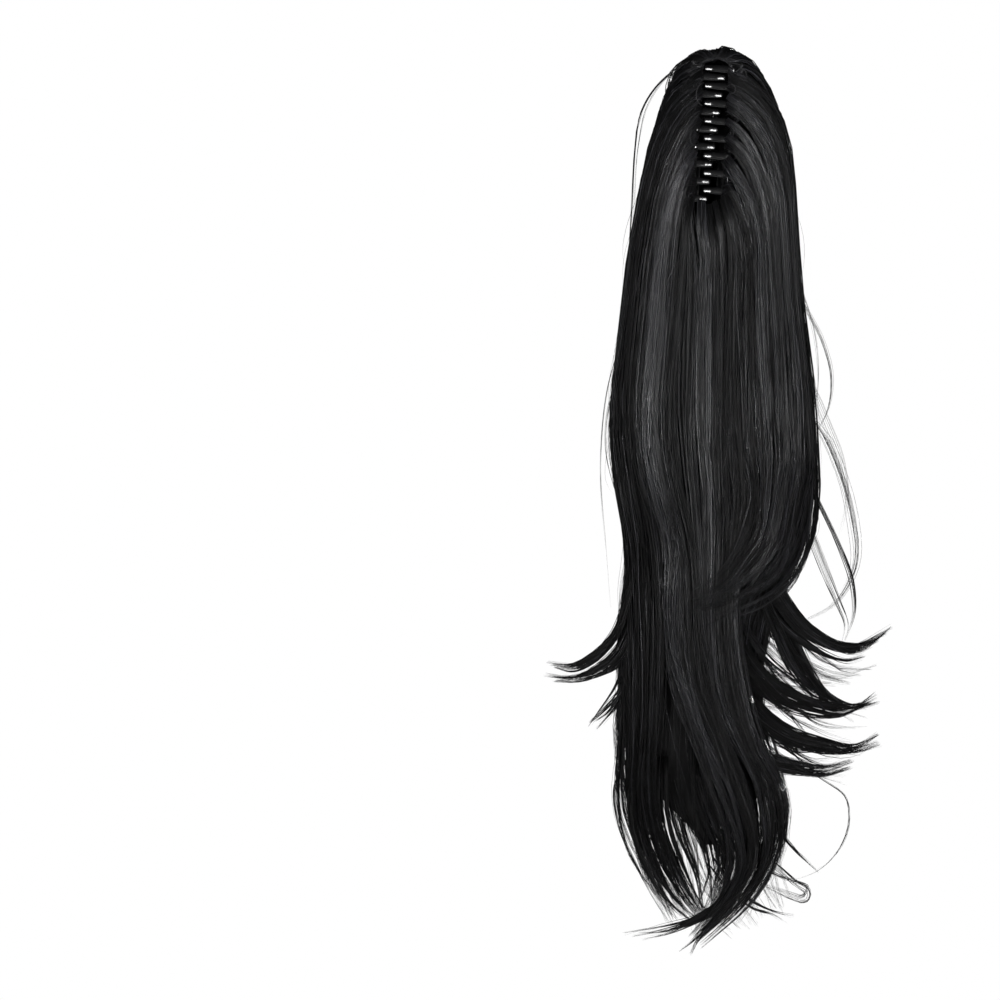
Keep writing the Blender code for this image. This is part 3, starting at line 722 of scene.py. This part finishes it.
flick("bottom_tips", 2, 10, 2.2,
      ((0, -2, -462), (14, -5, -481), (30, -7, -492), (41, -7, -496.5), (52, -7, -500)),
      ((-2, -2, -468), (12, -5, -486), (28, -7, -496), (38, -7, -500), (47, -7, -504)))
print("bottom tips", len(pieces["bottom_tips"]), "locks")

# %% [markdown]
# ## Loops and loose hairs
# A few thin groups of strands leave the outline in a wide loop and come back, and single hairs stand off
# everywhere. They are what makes the edge of the hair soft.

# %% Thin loops beside the outline
Loop = namedtuple("Loop", "strands spread radius spots")
LOOPS = (
    Loop(14, 1.3, 0.19, ((-6, -12, 50), (-25, -11, 40), (-39, -9, 26), (-46.3, -6, 12), (-49.6, -4, -10),
                         (-51.5, -2, -46), (-53.5, 0, -78), (-57, 0, -120))),
    Loop(3, 2.5, 0.12, ((-14, -12, 46), (-31, -11, 34), (-42, -8, 17), (-47, -4, -6), (-50, -2, -45),
                        (-54, 0, -90))),
    Loop(9, 3.0, 0.12, ((52, -4, -80), (58, -4, -108), (70, -4, -132), (76, -4, -155), (74, -4, -176),
                        (65, -4, -194), (56, -5, -210))),
    Loop(5, 3.0, 0.10, ((50, -4, -70), (58, -4, -100), (66, -4, -128), (68, -4, -160), (62, -4, -196))),
    Loop(9, 7.0, 0.10, ((60, 0, -150), (72, 0, -180), (84, 0, -212), (87, 0, -236), (82, 0, -256))),
    Loop(14, 3.0, 0.20, ((55, -6, -212), (69, -7, -240), (80, -7, -263), (89.5, -7, -289), (90, -7, -308),
                         (84, -7, -324))),
    Loop(14, 7.0, 0.16, ((54, -6, -232), (64, -7, -258), (73, -7, -281), (81, -7, -300), (86, -7, -314),
                         (84, -7, -326))),
    Loop(6, 2.0, 0.13, ((48, -8, -400), (72, -8, -413), (86, -7, -424), (88, -7, -438), (81, -7, -458),
                        (67, -6, -472), (50, -6, -478))),
    Loop(16, 4.0, 0.20, ((34, -8, -432), (45, -8, -447), (56, -7, -460), (68, -6, -472))),
    Loop(12, 6.0, 0.17, ((24, -8, -458), (40, -8, -468), (54, -8, -480), (61, -8, -485), (60, -8, -489),
                         (50, -8, -487), (34, -8, -480), (22, -8, -476))),
    Loop(8, 5.0, 0.15, ((26, -8, -464), (42, -8, -474), (54, -8, -478), (61, -8, -481), (58, -8, -487),
                        (44, -8, -484), (30, -8, -478))),
    Loop(8, 5.0, 0.12, ((-58, -2, -150), (-66, -2, -178), (-67, -2, -204), (-61, -3, -230), (-52, -4, -252))),
    Loop(4, 4.0, 0.10, ((-58, 0, -130), (-67, 0, -165), (-71, 0, -210), (-67, 0, -270), (-65, 0, -304))),
    Loop(12, 6.0, 0.16, ((-52, -4, -395), (-62, -4, -418), (-59, -4, -443), (-47, -4, -470), (-34, -4, -494),
                         (-22, -3, -511))),
    Loop(14, 9.0, 0.14, ((58, 12, -170), (76, 14, -206), (88, 14, -244), (90, 14, -278), (78, 14, -300),
                         (56, 14, -312))),
)
for loop in LOOPS:
    shape = (loop.strands, loop.spread, loop.spread, loop.radius, 0.1, 18)
    pieces["loose_loops"].append(strands(loop.spots, *shape, wander=0.6, tip_share=0.5))
print("loops", len(LOOPS))

# %% [markdown]
# Single hairs start on the body, follow it for a while and stand off by a few millimetres. Each is one
# strand of its own, drawn from the same rules, so a seed keeps them the same in every run.

# %% Single loose hairs
LOOSE_HAIRS = 330
for _ in range(LOOSE_HAIRS):
    turn = random.uniform(-180, 180)
    start = random.uniform(-400, -30)
    length = random.uniform(40, 130)
    off = random.uniform(1.5, 9) * random.uniform(0.3, 1)
    drift = random.normal(0, 9)
    share = np.linspace(0, 1, 7)
    fallen = np.maximum(start - share * length, BOTTOM + 4)
    lifted = skin(turn + drift * share, fallen, 1.0)
    outward = unit(lifted - heart_of(lifted))
    path = lifted + outward * (off * np.sin(share * math.pi * random.uniform(0.5, 1.0)))[:, None]
    pieces["loose_hairs"].append(strands(path, 1, 0.5, 0.5, 0.10, 0.3, 9, wander=0.8))
print("loose hairs", LOOSE_HAIRS)

# %% [markdown]
# Other single hairs lie on the surface and cross their neighbours at a small angle. Short frizz stands up
# where the hair is sewn to the rails.

# %% Crossing hairs and frizz at the rails
CROSSING_HAIRS, FRIZZ = 220, 110
for _ in range(CROSSING_HAIRS):
    share = np.linspace(0, 1, 8)
    turn = random.uniform(-180, 180) + random.normal(0, 16) * share
    turn = turn + 5 * np.sin(share * 4 + random.uniform(0, 6))
    fallen = random.uniform(-330, -30) - random.uniform(50, 130) * share
    path = skin(turn, fallen, -random.uniform(0.3, 1.6))
    pieces["loose_hairs"].append(strands(path, 1, 0.5, 0.5, 0.11, 0.85, 10, wander=0.4))
for _ in range(FRIZZ):
    beside = random.choice((-1, -1, 1))
    height = random.uniform(MOUTH_FOOT, MOUTH_TOP)
    reach, rise, fall = random.uniform(6, 22), random.uniform(-0.4, 0.8), random.uniform(0.3, 1.4)
    share = np.linspace(0, 1, 7)
    bow = (beside * (reach * share - 1.5), -1.5 * np.sin(share * 3), reach * (rise * share - fall * share**2))
    away = rail_point(beside, height) + np.stack(bow, -1)
    path = np.concatenate([away[:1], onto_body(away[1:], -random.uniform(0.4, 2))])
    pieces["loose_hairs"].append(strands(path, 1, 0.5, 0.5, 0.12, 0.6, 10, wander=0.8))
print("crossing hairs and frizz", CROSSING_HAIRS + FRIZZ)

# %% [markdown]
# Each group of locks becomes one mesh. It stands for the weft it lies over: the left one, the right one, or
# both where its middle is near the parting.

# %% Meshes of all the hair
for name, bundles in pieces.items():
    centre = np.mean([bundle.points[..., 0].mean() for bundle in bundles])
    weft = ["hair_left"] if centre < -4 else ["hair_right"] if centre > 4 else ["hair_left", "hair_right"]
    # Pieces in painted shade take the less glossy copy of the finish.
    finish = shaded_fibre if name in SHADED_PIECES else fibre
    place(name, tube_mesh(name, bundles), finish, "hair", weft)

# %% [markdown]
# ## The dense heart of the hair
# Behind the outer strands the real piece is thousands more. They never show one by one, so a dark closed
# form just under the surface stands for them. It is open in front of the claw, as the mouth is.

# %% Inner hair
INNER_DEPTH, INNER_ARC = 6.5, 14
INNER_LEVELS = (53, 50.5, 47, 40, 28, 12, -8, -30, -48, -56, -70, -110, -160, -210, -250, -290, -320, -345,
                -372, -392, -408, -422, -435, -446, -455)


def closed_mesh(name, shape):
    """A smooth mesh from a bmesh, with its faces turned outwards."""
    bmesh.ops.recalc_face_normals(shape, faces=shape.faces)
    mesh = bpy.data.meshes.new(name)
    shape.to_mesh(mesh)
    shape.free()
    mesh.shade_smooth()
    return mesh


def inner_mesh(name, side):
    """One half of the inner hair, as a closed form lofted through its sections."""
    rings = []
    for height in INNER_LEVELS:
        fade = INNER_DEPTH + 42 * ease(-height, 388, 460)
        opening = 34 * (1 - ease(-height, 44, 58)) * (1 - ease(height, 44, 50))
        turns = np.linspace(opening + 1, 178, INNER_ARC) * side
        outer = skin(turns, height, fade)
        room = ease(height, -58, -46)
        inner = np.stack([side * (0.4 + room * 19 * np.abs(np.sin(np.radians(turns)))),
                          6 - room * 27 * np.cos(np.radians(turns)), np.full(INNER_ARC, height)], -1)
        pivot = np.array([0, outer[:, 1].mean(), height])
        reach, room_left = (np.linalg.norm(points - pivot, axis=1) for points in (inner, outer))
        inner = pivot + (inner - pivot) * np.minimum(1, np.maximum(room_left - 2, 0.3) / reach)[:, None]
        outer[:, 0] = side * np.maximum(side * outer[:, 0], np.abs(inner[:, 0]) + 0.3)
        rings.append(np.concatenate([outer, inner[::-1]]))
    shape = bmesh.new()
    rows = [[shape.verts.new(point * MM) for point in ring] for ring in rings]
    for upper, lower in zip(rows, rows[1:]):
        for first, second in zip(range(len(upper)), list(range(1, len(upper))) + [0]):
            shape.faces.new((upper[first], upper[second], lower[second], lower[first]))
    shape.faces.new(rows[0][::-1])
    shape.faces.new(rows[-1])
    return closed_mesh(name, shape)


# %% [markdown]
# Its finish has fine lines drawn out down the hair, as bump and as tone.

# %% Finish: inner hair
def inner_finish():
    made, start = new_finish("inner_fibre")
    place_on = start.node("ShaderNodeTexCoord", output=3)
    drawn_out = start.node("ShaderNodeMapping", None, {"Vector": place_on, "Scale": (900, 900, 12)})
    lines = start.node("ShaderNodeTexNoise", None, {"Vector": drawn_out, "Scale": 1.0, "Detail": 3.0})
    bump = start.node("ShaderNodeBump", None, {"Height": lines, "Strength": 0.6, "Distance": 0.0006})
    sockets = {
        "Base Color": mixed(lines, (0.001, 0.001, 0.001), (0.004, 0.004, 0.0045)),
        "Roughness": 0.5 + 0.3 * lines,
        "Specular IOR Level": 0.15,
        "Normal": bump,
    }
    close_finish(start, sockets)
    return made


inner_fibre = inner_finish()
for name, side, weft in (("inner_hair_left", -1, "hair_left"), ("inner_hair_right", 1, "hair_right")):
    place(name, inner_mesh(name, side), inner_fibre, "hair", [weft])

# %% [markdown]
# ## The claw
# Each jaw is a curved wall of glossy moulded plastic with eight finger-like teeth that cross the other
# jaw's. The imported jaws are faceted, so finer ones take their place, on the same lines. Walls and teeth are
# swept: a small closed outline is carried along an arc, and it shrinks to round off the ends. A tooth is
# nearly flat in front and drops at its tip, which is where it catches the light.

# %% The jaws' own measures, in mm
JAW_RADIUS, JAW_MIDDLE_Y, JAW_WALL = 15.5, -3.0, 2.2
JAW_HALF_LENGTH = 44.6
HINGE_TURN, RAIL_TURN = 70.0, -46.0
TEETH, TOOTH_PITCH = 8, 11.1
TOOTH_RISE, TOOTH_HEIGHT, TOOTH_DEPTH, TOOTH_DROP = 6.0, 4.8, 2.9, 1.3
TIP_STEPS = np.array([5, 4.6, 4.2, 3.6, 2.8, 2, 1.4, 1, 0.65, 0.35, 0.15, 0.04])
CROSSING = {-1: (3.0, 0.078), 1: (6.5, 0.058)}
TAB_LENGTH, TAB_SPREAD, TAB_HEIGHT = 20.0, 8.0, 32.0
HINGE_Y = JAW_MIDDLE_Y + JAW_RADIUS - 1.6
KNUCKLE_RADIUS, KNUCKLE_BORE, KNUCKLE_LENGTH, KNUCKLE_PITCH = 3.3, 1.75, 8.5, 9.1
KNUCKLES = {1: (-1.5, 0.5), -1: (-0.5, 1.5)}
LEAN = math.radians(4)


def leaned(points):
    """Points turned about the origin by the claw's lean."""
    x, y, z = np.moveaxis(np.asarray(points, float), -1, 0)
    return np.stack([x * math.cos(LEAN) + z * math.sin(LEAN), y, z * math.cos(LEAN) - x * math.sin(LEAN)], -1)


def add_sweep(shape, rings, hoop=False):
    """A closed form through rings of equal count, added to a bmesh. A hoop's last ring joins its first."""
    rows = [[shape.verts.new(point * MM) for point in leaned(ring)] for ring in rings]
    count = len(rows[0])
    for upper, lower in zip(rows, rows[1:] + rows[:1] if hoop else rows[1:]):
        for first in range(count):
            second = (first + 1) % count
            shape.faces.new((upper[first], upper[second], lower[second], lower[first]))
    if not hoop:
        shape.faces.new(rows[0][::-1])
        shape.faces.new(rows[-1])


def rounded_box(half_wide, half_tall, corner, steps=5):
    """A flat outline with rounded corners."""
    outline = []
    for quarter in range(4):
        for step in range(steps + 1):
            a = math.pi / 2 * (quarter + step / steps)
            x = (half_wide - corner) * (1 if quarter in (0, 3) else -1) + corner * math.cos(a)
            y = (half_tall - corner) * (1 if quarter in (0, 1) else -1) + corner * math.sin(a)
            outline.append((x, y))
    return outline


def wall_rings(side):
    """The jaw's wall: a rounded outline carried round the jaw's arc, rounded off at the rail."""
    rings = []
    for share in np.concatenate([[0.0, 0.004, 0.012], np.linspace(0.03, 0.97, 26), [0.985, 0.995, 1.0]]):
        turn = math.radians(HINGE_TURN + (RAIL_TURN - HINGE_TURN) * share)
        edge = min(share, 1 - share) / 0.03
        full = math.sqrt(max(0.05, 1 - max(0.0, 1 - edge) ** 2))
        across = np.array([math.cos(turn), math.sin(turn)])
        ring = []
        for off, height in rounded_box(JAW_WALL / 2 * full, JAW_HALF_LENGTH - 1 + full, 0.9 * full):
            spot = np.array([0, JAW_MIDDLE_Y]) + across * (JAW_RADIUS + off)
            ring.append((side * spot[0], spot[1], height))
        rings.append(ring)
    return rings


def tooth_rings(side, height):
    """One tooth: a flat-fronted finger from the rail, forwards and across, with a sloping tip."""
    turn = math.radians(RAIL_TURN)
    root_x, root_y = JAW_RADIUS * math.cos(turn), JAW_MIDDLE_Y + JAW_RADIUS * math.sin(turn)
    middle, lean = CROSSING[side]
    tip, front = -(middle + lean * height), root_y - TOOTH_RISE
    spots = np.array([(root_x, root_y), (root_x + 0.9, front + 1.6), (root_x + 0.6, front + 0.5),
                      (root_x - 0.4, front), (tip + 5.2, front), (tip + 0.9, front + 0.86),
                      (tip, front + 1.25)])
    place_along = np.concatenate([[0], np.cumsum(np.linalg.norm(np.diff(spots, axis=0), axis=1))])
    length = place_along[-1]
    steps = np.concatenate([np.linspace(0, length - 5.4, 18), length - TIP_STEPS])
    line = np.stack([np.interp(steps, place_along, column) for column in spots.T], -1)
    ahead = unit(np.gradient(line, axis=0))
    rings = []
    for step, spot, heading in zip(steps, line, ahead):
        out = np.array([-heading[1], heading[0]])
        left_over = (length - step) / 1.5
        round_off = math.sqrt(max(0.03, 1 - max(0.0, 1 - left_over) ** 2))
        size = (1 - 0.22 * ease(step / length, 0.5, 1)) * round_off
        ring = []
        for corner in range(20):
            a = 2 * math.pi * corner / 20
            deep, tall = (math.copysign(abs(value) ** 0.6, value) for value in (math.cos(a), math.sin(a)))
            x, y = spot + out * TOOTH_DEPTH / 2 * size * deep
            ring.append((side * x, y, height + TOOTH_HEIGHT / 2 * size * tall))
        rings.append(ring)
    return rings


def tab_rings(side):
    """The finger tab: a rounded plate from the wall's hinge end, back and outwards."""
    turn = math.radians(HINGE_TURN - 6)
    start = np.array([JAW_RADIUS * math.cos(turn), JAW_MIDDLE_Y + JAW_RADIUS * math.sin(turn)])
    end = np.array([start[0] + TAB_SPREAD, HINGE_Y + TAB_LENGTH])
    ahead = (end - start) / np.linalg.norm(end - start)
    out = np.array([ahead[1], -ahead[0]])
    rings = []
    for share in (0.0, 0.1, 0.3, 0.5, 0.7, 0.85, 0.94, 0.98, 1.0):
        full = math.sqrt(max(0.04, 1 - max(0.0, (share - 0.85) / 0.15) ** 2))
        outline = rounded_box(JAW_WALL / 2 * (0.4 + 0.6 * full), TAB_HEIGHT / 2 * (0.72 + 0.28 * full), 0.4)
        spots = [(start + (end - start) * share + out * off, height) for off, height in outline]
        rings.append([(side * spot[0], spot[1], height) for spot, height in spots])
    return rings


def knuckle_rings(height):
    """A short tube round the pin: the profile of its wall, carried round as a hoop."""
    profile = rounded_box((KNUCKLE_RADIUS - KNUCKLE_BORE) / 2, KNUCKLE_LENGTH / 2, 0.4, 2)
    middle = (KNUCKLE_RADIUS + KNUCKLE_BORE) / 2
    turns = np.linspace(0, 2 * math.pi, 28, endpoint=False)
    return [[((middle + off) * math.cos(turn), HINGE_Y + (middle + off) * math.sin(turn), height + rise)
             for off, rise in profile] for turn in turns]


def bridge_rings(side, height):
    """The arm between a knuckle and the jaw's wall."""
    outline = rounded_box(1.1, KNUCKLE_LENGTH / 2, 0.4, 2)
    return [[(side * x, HINGE_Y + lift + off, height + rise) for off, rise in outline]
            for x, lift in ((2.4, 0.0), (4.2, 0.2), (6.2, 0.5))]


def jaw_mesh(name, side):
    shape = bmesh.new()
    add_sweep(shape, wall_rings(side))
    add_sweep(shape, tab_rings(side))
    for number in KNUCKLES[side]:
        add_sweep(shape, knuckle_rings(number * KNUCKLE_PITCH), hoop=True)
        add_sweep(shape, bridge_rings(side, number * KNUCKLE_PITCH))
    first = TOOTH_PITCH * (TEETH - 0.5) / 2 - (0 if side > 0 else TOOTH_PITCH / 2) - TOOTH_DROP
    for number in range(TEETH):
        add_sweep(shape, tooth_rings(side, first - number * TOOTH_PITCH))
    mesh = closed_mesh(name, shape)
    mesh.set_sharp_from_angle(angle=math.radians(50))
    return mesh


# %% [markdown]
# The plastic is black and glossy, with the faint waviness and dull handling marks of moulded parts.

# %% Finish: claw plastic
def plastic_finish():
    made, start = new_finish("glossy_claw_plastic")
    place_on = start.node("ShaderNodeTexCoord", output=3)
    smears = start.node("ShaderNodeTexNoise", None, {"Vector": place_on, "Scale": 180.0, "Detail": 3.0})
    waves = start.node("ShaderNodeTexNoise", None, {"Vector": place_on, "Scale": 420.0, "Detail": 1.0})
    bump = start.node("ShaderNodeBump", None, {"Height": waves, "Strength": 0.15, "Distance": 0.0004})
    sockets = {
        "Base Color": mixed(smears, (0.0015, 0.0015, 0.0015), (0.004, 0.004, 0.0045)),
        "Roughness": 0.15 + 0.08 * smears,
        "Normal": bump,
    }
    close_finish(start, sockets)
    return made


plastic = plastic_finish()
for name, side, node in (("claw_jaw_left", -1, "jaw_left"), ("claw_jaw_right", 1, "jaw_right")):
    place(name, jaw_mesh(name, side), plastic, "claw_plastic", [node])

# %% [markdown]
# ## The sewn bands
# The wefts are stitched to a cord along each rail. The cord is two plies twisted together, and a thread
# goes round cord and rail every few millimetres. A few stitches stand loose at the mouth's edge.

# %% Cords and stitches
BAND_X, BAND_Y, BAND_RADIUS = 15.0, -14.3, 1.9


def swept_tube(shape, path, radius, sides=8):
    """A round tube along a path, added to a bmesh."""
    path = np.asarray(path, float)
    heading, ups = carried_frame(path)
    seconds = np.cross(heading, ups)
    turns = [2 * math.pi * side / sides for side in range(sides)]
    add_sweep(shape, [[spot + radius * (up * math.cos(a) + second * math.sin(a)) for a in turns]
                      for spot, up, second in zip(path, ups, seconds)])


LOOSE_STITCHES = {
    -1: (((-6, -22, 31.5), (-8.8, -24, 29.6), (-10.4, -24.5, 26.5), (-10.8, -24.5, 22), (-9.6, -24, 18.6),
          (-7, -22, 16.6)),
         ((-12, -22, 2), (-14, -24.5, 0), (-15, -25, -4), (-13.5, -24.5, -8), (-11, -22.5, -9)),
         ((-14, -22, -15), (-17, -25, -13), (-19, -25.5, -17), (-17, -25.5, -21), (-14, -23, -20))),
    1: (((9, -22, 29), (11.6, -24, 30), (13.8, -24.5, 28), (13.4, -24.5, 25), (10.6, -23, 24)),
        ((14, -22, 38), (17.6, -23, 40), (20.4, -23.5, 38.4), (21, -23.5, 36)),
        ((10, -22, 5), (12.4, -24.5, 3), (12.6, -25, -2), (10.6, -23, -5))),
}


def band_mesh(name, side):
    shape = bmesh.new()
    for spots in LOOSE_STITCHES[side]:
        x, y, z = curve_through(spots, 22).T
        upright = (x * math.cos(LEAN) - z * math.sin(LEAN), y, z * math.cos(LEAN) + x * math.sin(LEAN))
        swept_tube(shape, np.stack(upright, -1), 0.27, 5)
    steps = np.linspace(0, 1, 110)
    height = -JAW_HALF_LENGTH + 2 * JAW_HALF_LENGTH * steps
    for ply in (0, math.pi):
        turn = steps * 2 * math.pi * 13 + ply
        spots = (side * (BAND_X + 0.92 * np.cos(turn)), BAND_Y + 0.92 * np.sin(turn), height)
        swept_tube(shape, np.stack(spots, -1), 0.95, 7)
    turn = np.linspace(0, 2 * math.pi * 0.97, 15)
    for number in range(20):
        level = -JAW_HALF_LENGTH + 4.4 * (number + 0.5) + random.uniform(-0.6, 0.6)
        reach = 2.5 + random.uniform(-0.15, 0.5)
        spots = (side * (BAND_X - 1.2 + (reach + 0.6) * np.cos(turn)), BAND_Y - 0.2 + reach * np.sin(turn),
                 level + 0.9 * np.sin(turn + 1))
        swept_tube(shape, np.stack(spots, -1), 0.24, 5)
    return closed_mesh(name, shape)


# %% [markdown]
# Sewing thread is matt. Fine slanting bands make its twist, and finer noise its fuzz, both as bump and as
# tone.

# %% Finish: sewing thread
def thread_finish():
    made, start = new_finish("black_sewing_thread")
    place_on = start.node("ShaderNodeTexCoord", output=3)
    settings = {"wave_type": "BANDS", "bands_direction": "DIAGONAL"}
    twist = start.node("ShaderNodeTexWave", settings, {"Vector": place_on, "Scale": 900.0, "Distortion": 1.5})
    fuzz = start.node("ShaderNodeTexNoise", None, {"Vector": place_on, "Scale": 2500.0, "Detail": 2.0})
    relief = twist + 0.5 * fuzz
    bump = start.node("ShaderNodeBump", None, {"Height": relief, "Strength": 0.5, "Distance": 0.0002})
    sockets = {
        "Base Color": mixed(twist * fuzz, (0.006, 0.006, 0.007), (0.045, 0.045, 0.048)),
        "Roughness": 0.55 + 0.25 * fuzz,
        "Normal": bump,
    }
    close_finish(start, sockets)
    return made


thread = thread_finish()
for name, side, node in (("sewn_band_left", -1, "band_left"), ("sewn_band_right", 1, "band_right")):
    place(name, band_mesh(name, side), thread, "band_thread", [node])

# %% [markdown]
# ## The pin
# The hinge pin stays as packed. It is drawn steel wire, so its finish has fine marks along its length.

# %% Finish: pin steel
def steel_finish():
    made, start = new_finish("drawn_pin_steel")
    place_on = start.node("ShaderNodeTexCoord", output=3)
    drawn_out = start.node("ShaderNodeMapping", None, {"Vector": place_on, "Scale": (3000, 3000, 60)})
    marks = start.node("ShaderNodeTexNoise", None, {"Vector": drawn_out, "Scale": 1.0, "Detail": 2.0})
    sockets = {
        "Base Color": mixed(marks, (0.26, 0.26, 0.27), (0.42, 0.42, 0.43)),
        "Roughness": 0.25 + 0.25 * marks,
        "Metallic": 1.0,
    }
    close_finish(start, sockets)
    return made


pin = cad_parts["hinge_pin"]
pin.data.materials.clear()
pin.data.materials.append(steel_finish())
print("all pieces", sum(triangles.values()), "triangles")

# %% [markdown]
# ## The set
# The photograph is lit softly before pure white. A white room would wash all black out to grey, so the
# world is white only as a backdrop and lights the hair faintly. Sheen on a hanging strand appears where a
# lamp is at the height of the eye, so the four main lamps stand near that height. A narrow spread, as from
# a softbox with a grid, aims their light at the foot of the claw. There the streaks are brightest, and they
# fade towards the tips. A small lamp on each side stands lower and keeps a little sheen in the last third.

# %% World and lamps
scene = bpy.context.scene
scene.view_settings.view_transform = "Standard"
world = bpy.data.worlds.new("white_studio")
scene.world = world
world.use_nodes = True
world.node_tree.nodes.clear()
start = Wire(world.node_tree)
backdrop = start.node("ShaderNodeLightPath")
FAINT = 0.03
strength = FAINT + (1 - FAINT) * backdrop
light = start.node("ShaderNodeBackground", None, {"Color": (1, 1, 1, 1), "Strength": strength})
start.node("ShaderNodeOutputWorld", None, {"Surface": light})

LAMP_SPREAD = math.radians(40)
Lamp = namedtuple("Lamp", "name place aim size watts")
LAMPS = (
    Lamp("key_lamp", (-0.66, -1.62, -0.19), (0, 0, -0.04), 0.35, 1.2),
    Lamp("fill_lamp", (0.72, -1.58, -0.19), (0, 0, -0.04), 0.35, 1.1),
    Lamp("back_key_lamp", (0.66, 1.62, -0.19), (0, 0, -0.04), 0.35, 1.2),
    Lamp("back_fill_lamp", (-0.72, 1.58, -0.19), (0, 0, -0.04), 0.35, 1.1),
    Lamp("low_lamp", (0.25, -1.70, -0.50), (0, 0, -0.44), 0.25, 0.22),
    Lamp("back_low_lamp", (-0.25, 1.70, -0.50), (0, 0, -0.44), 0.25, 0.22),
)
for lamp in LAMPS:
    light = bpy.data.lights.new(lamp.name, "AREA")
    light.shape, light.size, light.energy, light.spread = "SQUARE", lamp.size, lamp.watts, LAMP_SPREAD
    holder = bpy.data.objects.new(lamp.name, light)
    scene.collection.objects.link(holder)
    holder.location = lamp.place
    holder.rotation_euler = (Vector(lamp.aim) - Vector(lamp.place)).to_track_quat("-Z", "Y").to_euler()
print("lamps", len(LAMPS))

# %% [markdown]
# The hairpiece hangs free. The floor lies well below its tips and glows almost white, so that it joins the
# backdrop without an edge, as a paper sweep does.

# %% Floor
FLOOR_HEIGHT, FLOOR_HALF_SIZE = -1.25, 1.2
floor_mesh = bpy.data.meshes.new("studio_floor")
shape = bmesh.new()
bmesh.ops.create_grid(shape, x_segments=1, y_segments=1, size=FLOOR_HALF_SIZE)
shape.to_mesh(floor_mesh)
shape.free()
floor = bpy.data.objects.new("studio_floor", floor_mesh)
floor.location.z = FLOOR_HEIGHT
scene.collection.objects.link(floor)
floor_finish, start = new_finish("pale_floor")
close_finish(start, {"Base Color": (0.1, 0.1, 0.1, 1), "Roughness": 0.9, "Emission Color": (1, 1, 1, 1),
                     "Emission Strength": 0.99})
floor_mesh.materials.append(floor_finish)
print("floor at", FLOOR_HEIGHT, "m")

# %% [markdown]
# ## The camera
# The photograph looks level at the claw side through a long lens. One pixel is 0.64 mm on the hair, and
# the middle of the claw is at a known pixel, so the camera's place follows from the frame's size.

# %% Camera
LENS, SENSOR = 200, 36
MM_PER_PIXEL = 0.64
FRAME_PIXELS = 1000
ORIGIN_PIXEL = (712, 134)
middle = [(FRAME_PIXELS / 2 - pixel) * MM_PER_PIXEL * MM for pixel in ORIGIN_PIXEL]
camera_data = bpy.data.cameras.new("camera")
camera_data.lens, camera_data.sensor_width = LENS, SENSOR
camera = bpy.data.objects.new("camera", camera_data)
distance = FRAME_PIXELS * MM_PER_PIXEL * MM * LENS / SENSOR
camera.location = (middle[0], -distance, -middle[1])
camera.rotation_euler = (math.pi / 2, 0, 0)
scene.collection.objects.link(camera)
scene.camera = camera
print("camera at", tuple(round(value, 3) for value in camera.location))
